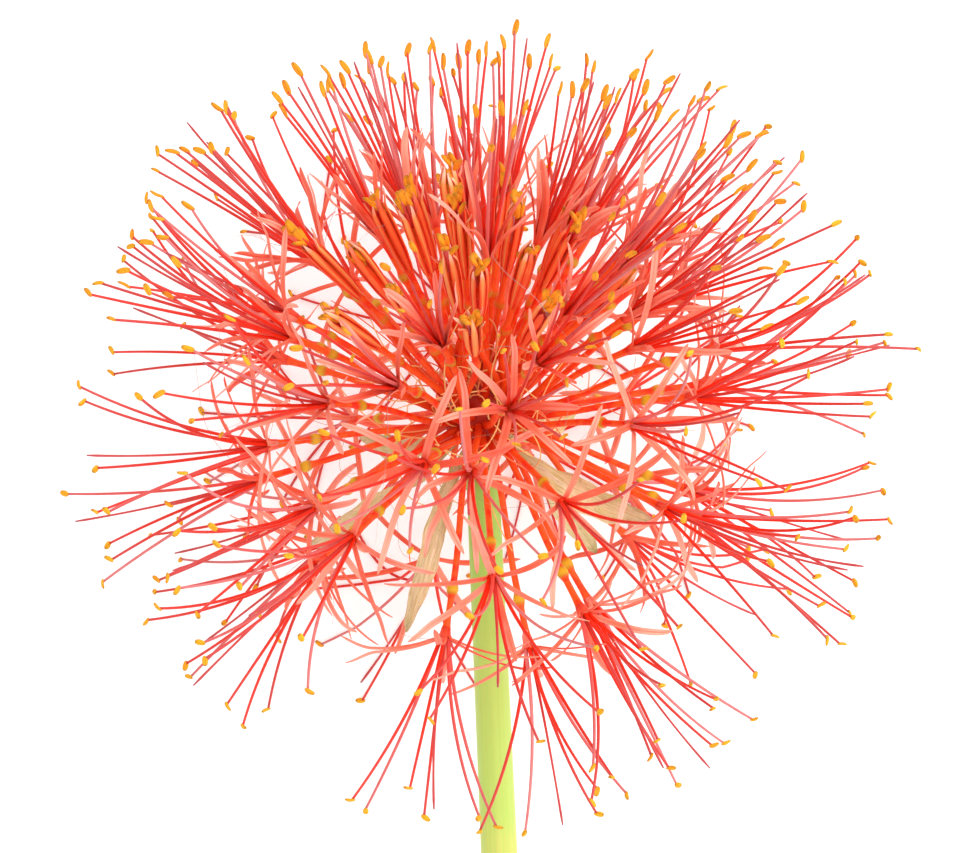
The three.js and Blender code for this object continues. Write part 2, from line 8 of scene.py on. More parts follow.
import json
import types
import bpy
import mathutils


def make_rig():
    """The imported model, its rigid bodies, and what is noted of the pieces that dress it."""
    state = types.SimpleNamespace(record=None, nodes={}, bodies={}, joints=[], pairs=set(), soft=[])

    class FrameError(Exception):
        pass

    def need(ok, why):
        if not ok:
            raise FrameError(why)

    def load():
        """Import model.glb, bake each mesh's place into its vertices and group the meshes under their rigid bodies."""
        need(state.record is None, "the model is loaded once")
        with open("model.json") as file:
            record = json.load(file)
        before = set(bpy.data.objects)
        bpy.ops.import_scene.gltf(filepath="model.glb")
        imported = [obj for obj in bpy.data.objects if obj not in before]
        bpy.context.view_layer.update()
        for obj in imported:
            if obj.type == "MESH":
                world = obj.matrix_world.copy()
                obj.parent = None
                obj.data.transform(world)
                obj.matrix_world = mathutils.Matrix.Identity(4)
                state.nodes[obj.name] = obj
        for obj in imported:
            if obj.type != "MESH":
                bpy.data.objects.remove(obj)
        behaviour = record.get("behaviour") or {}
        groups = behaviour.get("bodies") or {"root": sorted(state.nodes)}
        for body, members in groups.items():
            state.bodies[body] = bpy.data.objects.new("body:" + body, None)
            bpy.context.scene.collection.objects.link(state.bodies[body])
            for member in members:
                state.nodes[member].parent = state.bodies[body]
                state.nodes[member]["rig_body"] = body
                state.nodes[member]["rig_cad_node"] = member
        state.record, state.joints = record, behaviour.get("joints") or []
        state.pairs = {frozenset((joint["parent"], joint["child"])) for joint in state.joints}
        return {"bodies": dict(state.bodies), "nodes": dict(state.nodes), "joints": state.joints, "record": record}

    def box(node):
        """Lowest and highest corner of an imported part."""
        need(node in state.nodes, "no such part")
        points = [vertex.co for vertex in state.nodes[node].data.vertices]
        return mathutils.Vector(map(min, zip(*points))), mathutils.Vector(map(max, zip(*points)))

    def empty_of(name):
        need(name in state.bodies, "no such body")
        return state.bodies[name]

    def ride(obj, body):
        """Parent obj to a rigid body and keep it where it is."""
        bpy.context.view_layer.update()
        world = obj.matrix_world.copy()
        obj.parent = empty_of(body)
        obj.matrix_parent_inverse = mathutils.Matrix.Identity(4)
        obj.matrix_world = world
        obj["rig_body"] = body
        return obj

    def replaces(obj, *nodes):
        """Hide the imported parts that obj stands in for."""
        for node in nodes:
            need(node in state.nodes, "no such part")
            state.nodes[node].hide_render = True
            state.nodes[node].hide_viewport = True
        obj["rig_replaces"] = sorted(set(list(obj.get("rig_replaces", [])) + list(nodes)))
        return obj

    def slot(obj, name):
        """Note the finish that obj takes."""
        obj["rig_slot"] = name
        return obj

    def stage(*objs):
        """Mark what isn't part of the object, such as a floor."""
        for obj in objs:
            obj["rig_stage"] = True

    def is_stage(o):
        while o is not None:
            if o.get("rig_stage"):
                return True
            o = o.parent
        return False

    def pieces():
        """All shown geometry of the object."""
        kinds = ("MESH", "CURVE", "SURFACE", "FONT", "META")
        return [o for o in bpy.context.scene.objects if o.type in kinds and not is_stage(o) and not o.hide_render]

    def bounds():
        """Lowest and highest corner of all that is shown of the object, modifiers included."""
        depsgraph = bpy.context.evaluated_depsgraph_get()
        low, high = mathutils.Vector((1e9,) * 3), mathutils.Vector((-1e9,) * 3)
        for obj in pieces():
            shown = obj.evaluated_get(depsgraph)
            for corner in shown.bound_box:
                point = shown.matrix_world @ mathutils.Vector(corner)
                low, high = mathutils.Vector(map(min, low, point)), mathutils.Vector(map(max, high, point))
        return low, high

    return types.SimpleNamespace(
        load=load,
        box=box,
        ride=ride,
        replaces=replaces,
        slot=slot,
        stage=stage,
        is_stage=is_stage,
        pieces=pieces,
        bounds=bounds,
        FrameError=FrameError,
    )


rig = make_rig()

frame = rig.load()
cad_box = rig.bounds()

import functools
import json
import math
from types import SimpleNamespace

import bpy
import numpy as np

bl_info = {
    "name": "Blood lily",
    "version": (1, 0, 0),
    "blender": (4, 5, 0),
    "location": "3D View > Sidebar > Flower",
    "description": "Builds a cut blood lily over its packed solids, with its table and light",
    "category": "Add Mesh",
}

MM = 0.001
DEG = math.pi / 180


def linear(code):
    """Linear red, green, blue and a full alpha of an sRGB hex colour."""
    value = np.array([int(code[i : i + 2], 16) for i in (1, 3, 5)]) / 255
    low, high = value / 12.92, ((value + 0.055) / 1.055) ** 2.4
    return (*np.where(value <= 0.04045, low, high).tolist(), 1.0)


# The growth rule, in millimetres and radians
SEED = 7
STEM_LENGTH, STEM_STEPS = 240, 24
RISE_AT_HEAD, RISE_AT_CUT, LEAN = 16.5 * DEG, 12.5 * DEG, 2.5 * DEG
HEAD_Y = 69.6
STEM_RADIUS_AT_CUT, STEM_RADIUS_AT_NECK = 5.2, 3.9
KNOB_RADIUS, NECK_DISTANCE = 8.5, 11

FLORET_COUNT, TOP_COUNT = 68, 27
BUD_PATTERN = [True, True, False, True, True, True, False, True, True, False, True]
BUDS_PER_SPRAY = 5
NOD = 22 * DEG
GOLDEN_ANGLE, SPIRAL_START = 137.508 * DEG, 173 * DEG
POLAR_MAX, POLAR_POWER, ROOT_POLAR_MAX = 158 * DEG, 2.3, 116 * DEG
BEARING_JITTER = 3.5 * DEG
SEAT_GAP = 0.3
# Florets past the solids' number, and how close they may come to the rest
FILLING_COUNT, FILLING_FROM, FILLING_TURN, FILLING_CLEARANCE = 14, 0.35, 310 * DEG, 0.1
FILLING_PIECES = 3

PEDICEL_RADIUS, OVARY_RADIUS, OVARY_HALF_LENGTH = 0.9, 1.7, 2.4
THROAT_RADIUS, THROAT_DEPTH, TUBE_LENGTH = 1.6, 1.3, 10
# Ovary's distance, petal length, its first and last angle, stamen length, its first and last angle
YOUNG = np.array([39, 22, 16, 38, 38, 6, 12])
OPEN = np.array([44, 24, 64, 100, 43, 14, 32])
OPENS_FROM, OPENS_OVER = 42 * DEG, 30 * DEG
AGE_JITTER, REACH_JITTER, BUD_JITTER, STYLE_JITTER, STYLE_BENDS = 0.2, 2.5, 3, 5, (3, 16)
# How loosely petals and stamens stand: round the axis in degrees, in length, in their first and last
# angle in degrees, and in sway
PETAL_LOOSE = np.array([6, 2.5, 7, 12, 0.25])
YOUNG_STAMEN_LOOSE, OPEN_STAMEN_LOOSE = np.array([8, 4, 1, 3, 0.05]), np.array([8, 4, 6, 13, 0.25])

PARTS_PER_WHORL = 6
PETAL_WIDTH, FILAMENT_RADIUS, STYLE_RADIUS = 1.8, 0.42, 0.38
ANTHER_LENGTH, ANTHER_RADIUS, ANTHER_TILTS = 2.6, 0.62, (12 * DEG, 62 * DEG)
RISE_OF_STAMENS, STAMEN_RING, ANTHER_SWING = 0.45, 0.7, 1.5
BUD_OVARY_AT, BUD_TUBE, BUD_LENGTH, BUD_RADIUS = 32, 7, 21, 2.5

# Azimuth, polar angle and twist in degrees, length and width in millimetres
BRACTS = [
    (184, 119, -85, 45, 8),
    (130, 150, -60, 46, 6.5),
    (18, 108, 80, 41, 9),
    (338, 146, -85, 40, 8),
    (304, 72, 75, 42, 8),
    (226, 84, -80, 40, 8),
    (264, 122, 35, 40, 8),
]
BRACT_ROOT_POLAR, BRACT_TURN, BRACT_CURL_BACK, BRACT_GAP = 140 * DEG, 0.7, 0.3, 0.2
BRACT_STATIONS, BRACT_WIDTHS = [0, 3, 6, 9], np.array([0.36, 0.85, 1, 0.85])
# Where the lines run that keep a blade's room, and their radius, in half widths
BRACT_LANES, BRACT_LANE_RADIUS = (-0.62, 0, 0.62), 0.38

PATH_STEPS = 12
STAMEN_ABOVE_TABLE, PETAL_ABOVE_TABLE, ANTHER_END_ABOVE_TABLE = 0.45, 0.3, 0.2
THROAT_ABOVE_TABLE, LOW_THROAT, LANDING_RADIUS = 13, 22, 15
FLARE, LYING_BELOW, CLEARANCE = 0.3, 3, 0.5
TRUNK_TRIES, ORGAN_TRIES, TRIES_AT_ONCE = 600, 200, 10
PEDICEL_STATIONS, PETAL_STATIONS, STYLE_STATIONS = [0, 0.4, 1], [0, 4, 9, 12], [0, 12]
STAMEN_STATIONS, LOW_STAMEN_STATIONS = [0, 4, 12], [0, 3, 6, 12]
# Each try is so much looser, and so many millimetres shorter, than the one before
BEARING_LOOSER, ORGAN_LOOSER, PETAL_SHORTER, STAMEN_SHORTER = 0.03, 0.05, 0.1, 0.15
# The first keys of the petals' and stamens' draws, and who owns the bracts' and the stem's stretches
PETAL_KEY, STAMEN_KEY, BRACT_OWNER, STEM_OWNER = 10, 20, 1000, 2000


def draw(*keys):
    """A repeatable number from 0 to 1: whole numbers mixed in turn into a 32-bit hash. Arrays give arrays.
    The last key only tells one draw from the others."""
    value = np.full(np.broadcast_shapes(*(np.shape(key) for key in keys)), SEED, np.uint32)
    with np.errstate(over="ignore"):
        for key in keys:
            mixed = (np.asarray(key, np.int64) + 0x9E3779B9).astype(np.uint32)
            value = (value ^ mixed) * np.uint32(0x85EBCA6B)
            value = (value ^ (value >> np.uint32(13))) * np.uint32(0xC2B2AE35)
            value = value ^ (value >> np.uint32(16))
    return value / 4294967296.0


def spread(amount, *keys):
    return amount * (2 * draw(*keys) - 1)


def mix(a, b, share):
    return a + (b - a) * share


def smooth(value, low, high):
    """0 below low, 1 above high, and an S-shaped rise between them."""
    t = np.clip((value - low) / (high - low), 0, 1)
    return t * t * (3 - 2 * t)


def dot(a, b):
    return (a * b).sum(-1, keepdims=True)


def unit(vectors):
    return vectors / np.sqrt(dot(vectors, vectors))


def squared(reference, heading):
    """The part of a reference direction that is square to a heading, made one long."""
    return unit(reference - heading * dot(reference, heading))


def column(values):
    return np.asarray(values, float)[..., None]


def stem_heading(share):
    """The stem's way down from the knob, whose slope changes evenly towards its cut end."""
    rise = mix(RISE_AT_HEAD, RISE_AT_CUT, np.asarray(share, float))
    level = np.cos(rise)
    return np.stack([math.sin(LEAN) * level, -math.cos(LEAN) * level, -np.sin(rise)], -1)


def stem_line():
    """Equal steps down the stem's heading, set so that the cut end's underside is on the table."""
    steps = stem_heading((np.arange(STEM_STEPS) + 0.5) / STEM_STEPS) * STEM_LENGTH / STEM_STEPS
    points = np.vstack([np.zeros(3), np.cumsum(steps, axis=0)])
    lift = STEM_RADIUS_AT_CUT * math.cos(RISE_AT_CUT) - points[-1, 2]
    return points + [0, HEAD_Y, lift]


STEM_POINTS = stem_line()
HEAD_CENTRE = STEM_POINTS[0]
HEAD_AXIS = -stem_heading(0)
HEAD_RIGHT = np.array([math.cos(LEAN), math.sin(LEAN), 0])
HEAD_FRONT = np.cross(HEAD_RIGHT, HEAD_AXIS)


def direction(polar, azimuth):
    """From the knob: sin(polar) (cos(azimuth) right + sin(azimuth) front) + cos(polar) axis."""
    across = column(np.cos(azimuth)) * HEAD_RIGHT + column(np.sin(azimuth)) * HEAD_FRONT
    return column(np.sin(polar)) * across + column(np.cos(polar)) * HEAD_AXIS


def floret_direction(polar, azimuth):
    """The same direction nodded about the head's right by NOD times cos(polar / 2) squared."""
    way, angle = direction(polar, azimuth), column(NOD * np.cos(np.asarray(polar) / 2) ** 2)
    along = HEAD_RIGHT * dot(way, HEAD_RIGHT) * (1 - np.cos(angle))
    return way * np.cos(angle) + np.cross(HEAD_RIGHT, way) * np.sin(angle) + along


def distance_between(a1, b1, a2, b2):
    """The least distance of two straight stretches, from the nearest place on each."""
    d1, d2, r = b2 - a2, b1 - a1, a2 - a1
    a, e, b = (d1 * d1).sum(-1), (d2 * d2).sum(-1), (d1 * d2).sum(-1)
    c, f = (d1 * r).sum(-1), (d2 * r).sum(-1)
    scale = a * e - b * b
    apart = scale > 1e-9
    s = np.where(apart, np.clip((b * f - c * e) / np.where(apart, scale, 1), 0, 1), 0)
    t = (b * s + f) / e
    s = np.where(t < 0, np.clip(-c / a, 0, 1), np.where(t > 1, np.clip((b - c) / a, 0, 1), s))
    t = np.clip(t, 0, 1)
    return np.linalg.norm(a2 + d1 * column(s) - a1 - d2 * column(t), axis=-1)


class Room:
    """Straight stretches already taken by petals, stamens and the rest, each with its radius and owner."""

    def __init__(self):
        self.rows, self.clearance = np.zeros((0, 13)), CLEARANCE

    def take(self, a, b, radius, owner, at_root):
        """Adds stretches from a to b; each row also keeps its middle and half its length."""
        facts = np.stack(np.broadcast_arrays(radius, owner, at_root, a[:, 0])[:3], -1)
        half = np.linalg.norm(b - a, axis=-1)[:, None] / 2
        self.rows = np.vstack([self.rows, np.hstack([a, b, facts, (a + b) / 2, half])])

    def is_clear(self, a, b, radius, owner, at_root):
        """For each try of a[try, stretch]: whether all its stretches keep clear of all that is taken.
        Two stretches of one owner may meet where either is at its root."""
        taken = self.rows
        reach = radius[:, None] + taken[:, 6] + self.clearance
        half = np.linalg.norm(b - a, axis=-1) / 2
        apart = np.linalg.norm(((a + b) / 2)[:, :, None] - taken[:, 9:12], axis=-1)
        near = apart <= half[:, :, None] + taken[:, 12] + reach
        near &= ~((taken[:, 7] == owner) & (at_root[:, None] | (taken[:, 8] > 0)))
        which, mine, other = np.nonzero(near)
        gap = distance_between(a[which, mine], b[which, mine], taken[other, :3], taken[other, 3:6])
        clear = np.ones(len(a), bool)
        clear[which[gap < reach[mine, other]]] = False
        return clear

    def find(self, make, owner, tries):
        """Makes tries in small lots until one is clear, takes its room and gives what was found for it."""
        for start in range(0, tries, TRIES_AT_ONCE):
            (a, b, radius, at_root), found = make(np.arange(start, min(start + TRIES_AT_ONCE, tries)))
            clear = self.is_clear(a, b, radius, owner, at_root)
            if clear.any():
                first = int(np.argmax(clear))
                self.take(a[first], b[first], radius, owner, at_root)
                return [part[first] for part in found]
        raise RuntimeError(f"owner {owner} finds no room")


def spans(*paths):
    """The straight stretches of each path (points[try, station], radius, whether it starts at a root):
    their starts and ends, each one's radius, and whether it is at a root."""
    counts = [points.shape[1] - 1 for points, _, _ in paths]
    starts = np.concatenate([points[:, :-1] for points, _, _ in paths], 1)
    ends = np.concatenate([points[:, 1:] for points, _, _ in paths], 1)
    radius = np.repeat([radius for _, radius, _ in paths], counts)
    at_root = np.concatenate([np.arange(count) < path[2] for count, path in zip(counts, paths)])
    return starts, ends, radius, at_root


def steepest_fall(height, step):
    """How steeply a path may still fall at a height: it comes down in an arc and lands level."""
    arc = np.maximum(0, 1 - np.maximum(0, height) / LANDING_RADIUS)
    return np.minimum(np.minimum(np.sqrt(1 - arc * arc), np.maximum(0, height) / step), 1)


def walk(root, axis, out, length, start, end, sway=0.0, rise=0.0, above=STAMEN_ABOVE_TABLE):
    """Twelve equal steps from a root, one path per try. The heading is cos(turn) axis + sin(turn) out
    + sway along side + rise along the head's axis, where turn goes evenly from start to end, and it
    levels out as it nears the table."""
    side = np.cross(axis, out)
    step_length = np.broadcast_to(length, len(out)) / PATH_STEPS
    points, headings = [np.broadcast_to(root, out.shape)], []
    for step in range(PATH_STEPS):
        along = (step + 0.5) / PATH_STEPS
        turn = mix(start, end, along)
        heading = axis * column(np.cos(turn)) + out * column(np.sin(turn))
        heading = unit(heading + side * column(sway * along) + HEAD_AXIS * (rise * along))
        fall = steepest_fall(points[-1][:, 2] - above, step_length)
        flat = unit((heading + FLARE * out) * [1, 1, 0]) * column(np.sqrt(1 - fall * fall))
        flat[:, 2] = -fall
        heading = np.where(column(heading[:, 2] < -fall), flat, heading)
        headings.append(heading)
        points.append(points[-1] + heading * column(step_length))
    headings.append(headings[-1])
    return np.stack(points, 1), np.stack(headings, 1), side


def bearing(i, attempt):
    """Where floret i stands: bearing from the knob and polar angle of its root, golden angle after golden
    angle. Filling florets go down the head once more."""
    share, around = (i + 0.5) / FLORET_COUNT, i * GOLDEN_ANGLE + SPIRAL_START
    if i >= FLORET_COUNT:
        share = mix(FILLING_FROM, 1, (i - FLORET_COUNT + 0.5) / FILLING_COUNT)
        around += FILLING_TURN
    loosen = BEARING_JITTER * (1 + BEARING_LOOSER * attempt)
    polar = math.acos(1 - (1 - math.cos(POLAR_MAX)) * share**POLAR_POWER) + spread(loosen, i, attempt, 1)
    sideways = spread(loosen, i, attempt, 2) / np.sin(np.maximum(0.2, polar))
    root_polar = math.acos(1 - (1 - math.cos(ROOT_POLAR_MAX)) * share)
    return polar, around + sideways, root_polar


def is_bud(i):
    return i < TOP_COUNT and BUD_PATTERN[i % len(BUD_PATTERN)]


def clear_of_table(towards, reach):
    """A floret that points down is turned outwards until its throat is clear of the table."""
    deepest = (THROAT_ABOVE_TABLE - HEAD_CENTRE[2]) / reach
    outwards = np.sqrt(1 - np.minimum(deepest**2, 1)) / np.hypot(towards[:, 0], towards[:, 1])
    turned = towards * column(outwards)
    turned[:, 2] = deepest
    return np.where(column(towards[:, 2] >= deepest), towards, turned)


def pedicel_points(root_direction, towards, reach, shares):
    """The knob's centre plus a direction that bends from the root's to the floret's, as share (2 - share),
    times a distance that grows evenly from the knob to the ovary's foot."""
    shares = np.asarray(shares, float)
    bend = column(np.clip(shares * (2 - shares), 0, 1))
    way = unit(mix(root_direction[..., None, :], towards[..., None, :], bend))
    distance = mix(KNOB_RADIUS + SEAT_GAP, column(reach) - OVARY_HALF_LENGTH, shares)
    return HEAD_CENTRE + way * distance[..., None]


def whorl(axis, turn):
    """The six directions round a floret's axis; extra turns one of them a little further."""
    seed = HEAD_AXIS if abs(axis @ HEAD_AXIS) < 0.8 else HEAD_RIGHT
    out = squared(seed, axis)
    side = np.cross(axis, out)

    def radial(k, extra=0.0):
        angle = turn + np.asarray(k) * 2 * math.pi / PARTS_PER_WHORL + extra
        return column(np.cos(angle)) * out + column(np.sin(angle)) * side

    return radial


def plan_trunk(room, i, owner, shape, far, radius):
    """One floret's or bud's line: its pedicel, and on from the ovary's foot to its end, which is its throat
    or tip. shape(i, attempts) gives its root direction, direction, reach, polar angle and age per try."""

    def make(attempts):
        root, towards, reach, polar, age = shape(i, attempts)
        line = pedicel_points(root, towards, reach, PEDICEL_STATIONS)
        end = line[:, 2] + towards * far
        axis = np.stack([line[:, 2], end], 1)
        taken = spans((line, PEDICEL_RADIUS, True), (axis, radius, radius == OVARY_RADIUS))
        return taken, (root, towards, reach, polar, age, line, end)

    names = ("root", "towards", "reach", "polar", "age", "line", "end")
    trunk = SimpleNamespace(i=i, **dict(zip(names, room.find(make, owner, TRUNK_TRIES))))
    trunk.radial = whorl(trunk.towards, 2 * math.pi * draw(i, 5))
    trunk.rise = RISE_OF_STAMENS * trunk.age * (1 + math.cos(trunk.polar)) / 2
    return trunk


def plan_floret(room, i):
    def shape(i, attempts):
        polar, azimuth, root_polar = bearing(i, attempts)
        age = np.clip((polar - OPENS_FROM) / OPENS_OVER + spread(AGE_JITTER, i, 3), 0, 1)
        reach = mix(YOUNG[0], OPEN[0], age) + spread(REACH_JITTER, i, 4)
        towards = floret_direction(polar, azimuth)
        towards = clear_of_table(towards, reach + OVARY_HALF_LENGTH + TUBE_LENGTH)
        return floret_direction(np.full(len(attempts), root_polar), azimuth), towards, reach, polar, age

    return plan_trunk(room, i, i, shape, 2 * OVARY_HALF_LENGTH + TUBE_LENGTH, OVARY_RADIUS)


def plan_spray(room, members):
    """Buds of one spray share a foot on the knob. Their age is 0."""
    feet = [bearing(i, 0) for i in members]
    foot = unit(sum(floret_direction(root_polar, azimuth) for _, azimuth, root_polar in feet))

    def shape(i, attempts):
        polar, azimuth, _ = bearing(i, attempts)
        reach = np.full(len(attempts), BUD_OVARY_AT + spread(BUD_JITTER, i, 4))
        return np.tile(foot, (len(attempts), 1)), floret_direction(polar, azimuth), reach, polar, 0 * polar

    far = 2 * OVARY_HALF_LENGTH + BUD_TUBE + BUD_LENGTH
    return [plan_trunk(room, i, members[0], shape, far, BUD_RADIUS) for i in members]


def sprout(floret, k, attempts, sizes, loose, shorter, key):
    """For each try, how petal or stamen k leaves: its way out, length, first and last angle, and sway. Later
    tries are looser and shorter."""
    i, loosen = floret.i, 1 + ORGAN_LOOSER * attempts
    out = floret.radial(k, spread(loose[0] * DEG * loosen, i, k, attempts, key + 1))
    length = sizes[0] + spread(loose[1], i, k, key + 2) - shorter * attempts
    start = (sizes[1] + spread(loose[2] * loosen, i, k, attempts, key + 3)) * DEG
    end = (sizes[2] + spread(loose[3] * loosen, i, k, attempts, key + 4)) * DEG
    return out, length, start, end, spread(loose[4] * loosen, i, k, attempts, key + 5)


def plan_petal(room, floret, k):
    """Its points and the direction across it."""
    sizes = mix(YOUNG, OPEN, floret.age)[1:4]
    root = floret.end - floret.towards * THROAT_DEPTH / 2
    root = root + floret.radial(k) * THROAT_RADIUS * math.cos(30 * DEG)

    def make(attempts):
        way = sprout(floret, k, attempts, sizes, PETAL_LOOSE, PETAL_SHORTER, PETAL_KEY)
        points, _, side = walk(root, floret.towards, *way, above=PETAL_ABOVE_TABLE)
        return spans((points[:, PETAL_STATIONS], PETAL_WIDTH / 2, True)), (points, side)

    return room.find(make, floret.i, ORGAN_TRIES)


def plan_stamen(room, floret, k):
    """Its points, the direction across it and its anther's."""
    sizes, loose = mix(YOUNG, OPEN, floret.age)[4:], mix(YOUNG_STAMEN_LOOSE, OPEN_STAMEN_LOOSE, floret.age)
    root = floret.end + floret.radial(k) * STAMEN_RING * THROAT_RADIUS
    stations = LOW_STAMEN_STATIONS if floret.end[2] < LOW_THROAT else STAMEN_STATIONS
    tilt = mix(*ANTHER_TILTS, floret.age)

    def make(attempts):
        way = sprout(floret, k, attempts, sizes, loose, STAMEN_SHORTER, STAMEN_KEY)
        points, headings, side = walk(root, floret.towards, *way, floret.rise)
        tip, heading = points[:, -1], headings[:, -1]
        across = squared(side + way[0] * spread(ANTHER_SWING, floret.i, k, 26), heading)
        anther = heading * math.cos(tilt) + across * math.sin(tilt)
        lowest = -steepest_fall(tip[:, 2] - ANTHER_END_ABOVE_TABLE, ANTHER_LENGTH)
        anther[:, 2] = np.maximum(anther[:, 2], lowest)
        anther = unit(anther)
        rod = np.stack([tip, tip + anther * ANTHER_LENGTH], 1)
        taken = spans((points[:, stations], FILAMENT_RADIUS, True), (rod, ANTHER_RADIUS, False))
        return taken, (points, side, anther)

    return room.find(make, floret.i, ORGAN_TRIES)


def plan_style(room, floret, _):
    """Its points and a direction across it."""
    i, length = floret.i, mix(YOUNG, OPEN, floret.age)[4]

    def make(attempts):
        out = floret.radial(0, 2 * math.pi * draw(i, attempts, 31))
        end = spread(mix(*STYLE_BENDS, floret.age) * (1 + ORGAN_LOOSER * attempts), i, attempts, 33) * DEG
        shown = length + spread(STYLE_JITTER, i, 32) - STAMEN_SHORTER * attempts
        points, _, side = walk(floret.end, floret.towards, out, shown, 0.0, end, rise=floret.rise)
        return spans((points[:, STYLE_STATIONS], STYLE_RADIUS, True)), (points, side)

    return room.find(make, i, ORGAN_TRIES)


def plan_organs(room, floret):
    """Adds the floret's stamens, style and petals, each a list of arrays with one row for each of them."""
    for name, plan in (("stamens", plan_stamen), ("style", plan_style), ("petals", plan_petal)):
        organs = [plan(room, floret, k) for k in range(1 if name == "style" else PARTS_PER_WHORL)]
        setattr(floret, name, [np.stack(part) for part in zip(*organs)])


def plan_bract(room, index):
    """Its points, the direction across it at its root, its twist and its width."""
    azimuth, polar, twist, length, width = BRACTS[index]
    around, polar = np.array([azimuth * DEG]), np.array([polar * DEG])
    root = HEAD_CENTRE + direction(BRACT_ROOT_POLAR, around) * (KNOB_RADIUS + SEAT_GAP + BRACT_GAP)
    towards, out = direction(polar, around), direction(polar + math.pi / 2, around)
    turn = BRACT_ROOT_POLAR - polar
    path = walk(root, towards, out, length, BRACT_TURN * turn, -BRACT_CURL_BACK * BRACT_TURN * turn)
    points, headings, side = (part[0] for part in path)
    across = squared(side, headings[BRACT_STATIONS])
    angle = column(twist * DEG * np.array(BRACT_STATIONS) / PATH_STEPS)
    across = across * np.cos(angle) + np.cross(headings[BRACT_STATIONS], across) * np.sin(angle)
    for lane in BRACT_LANES:
        lane_points = points[BRACT_STATIONS] + across * column(lane * BRACT_WIDTHS * width / 2)
        line = np.vstack([lane_points, points[-1]])
        room.take(line[:-1], line[1:], BRACT_LANE_RADIUS * width / 2, BRACT_OWNER + index, 0)
    return SimpleNamespace(points=points, side=side, twist=twist * DEG, width=width)


def plan_filling(room):
    """Florets in what room is left between the others. One that finds none is left out."""
    room.clearance = FILLING_CLEARANCE
    filling = []
    for i in range(FLORET_COUNT, FLORET_COUNT + FILLING_COUNT):
        try:
            floret = plan_floret(room, i)
            plan_organs(room, floret)
        except RuntimeError:
            continue
        filling.append(floret)
    return filling


@functools.lru_cache
def flower_plan():
    """Every bract, bud, floret, petal and stamen, placed one after the other in the solids' order."""
    room = Room()
    line = STEM_POINTS[::4]
    room.take(line[:-1], line[1:], STEM_RADIUS_AT_CUT, STEM_OWNER, 0)
    bracts = [plan_bract(room, index) for index in range(len(BRACTS))]
    buds = sorted(filter(is_bud, range(TOP_COUNT)), key=lambda i: i * GOLDEN_ANGLE % (2 * math.pi))
    lots = [buds[i : i + BUDS_PER_SPRAY] for i in range(0, len(buds), BUDS_PER_SPRAY)]
    sprays = [plan_spray(room, members) for members in lots]
    florets = [plan_floret(room, i) for i in range(FLORET_COUNT) if not is_bud(i)]
    for floret in florets:
        plan_organs(room, floret)
    return SimpleNamespace(bracts=bracts, sprays=sprays, florets=florets, filling=plan_filling(room))


# Surfaces, in millimetres. Nothing dips below the least height over the table, and a piece's box is off
# its solid's by so much at most
LEAST_HEIGHT, MOST_OFF = 0.02, 4.5
# Growth along the stem at its neck, at the knob's foot, and where the knob's lumps start
STEM_TO, KNOB_FROM, LUMPS_FROM = 0.93, 0.935, 0.94
# How many rings and corners the surfaces have
STEM_RINGS, KNOB_RINGS, STEM_SIDES = 70, 22, 72
BRACT_RINGS, BRACT_SIDES = 56, 32
TRUNK_SIDES, ORGAN_RINGS, THREAD_SIDES, RIBBON_SIDES = 18, 20, 6, 12
ANTHER_RINGS, ANTHER_SIDES = 9, 12
BUD_RINGS, CORE_SIDES, CURL_RINGS = 24, 10, 26
# Radius where the ovary meets its stalk and its tube, the tubes' mouths, and how deep in the tube and how
# far inwards the organs' feet are
WAIST, FLORET_MOUTH, BUD_MOUTH = 0.76, 1.3, 1.05
PETAL_FOOT, STAMEN_FOOT, STYLE_FOOT = (2.4, 0.55), (2, 0.25), (2.4, 0)
# Places along an organ, and its width, thickness or radius there
BRACT_OUTLINE = [0, 0.25, 0.5, 0.75, 0.93, 1], [0.36, 0.85, 1, 0.85, 0.5, 0.06]
PETAL_OUTLINE = [0, 0.14, 0.3, 0.7, 0.87, 0.96, 1], [0.75, 0.92, 1, 0.96, 0.86, 0.6, 0.12]
PETAL_THICKNESS = [0, 0.3, 1], [1.3, 1, 0.45]
FILAMENT_TAPER = [0, 0.3, 1], [1.04, 0.95, 0.7]
STYLE_TAPER = [0, 0.8, 0.97, 1], [0.95, 0.6, 0.75, 0.4]
BUD_SWELL = [-0.06, 0, 0.2, 0.5, 0.85, 1], [0.4, 0.55, 0.76, 0.88, 0.88, 0.8]
BUD_OUTLINE = [-0.06, 0.2, 0.7, 0.9, 1], [0.5, 0.95, 1, 0.6, 0.12]
BUD_THICKNESS = [-0.06, 0.7, 1], [0.95, 0.9, 0.35]
# The petals or stamens of a floret, and the first key of the bracts' draws
WHORL, BRACT_KEY = np.arange(PARTS_PER_WHORL), 900
# How high threads stay over the table, and how far from the knob they reach
THREAD_ABOVE_TABLE, THREAD_REACH = 0.3, 78
# Length and radius of an anther, the share of buds that are shut, and the threads of the others' anthers
YOUNG_ANTHER, OPEN_ANTHER, BUD_ANTHER = np.array([4.2, 0.62]), np.array([2.5, 0.56]), (4.4, 0.82)
SHUT_BUDS, BUD_STALK_RINGS, BUD_STALK_RADIUS = 0.3, 6, 0.34
# The table's half width in metres, and the picture's size and the knob's place in it in pixels
HALF_TABLE, PICTURE_SIZE, KNOB_IN_PICTURE, PIXELS_PER_MM = 1.6, (970, 853), (480, 415), 4.2
# The materials' order in florets and buds
STALK, PETAL, FILAMENT, STYLE, POLLEN, BUD_PETAL = range(6)


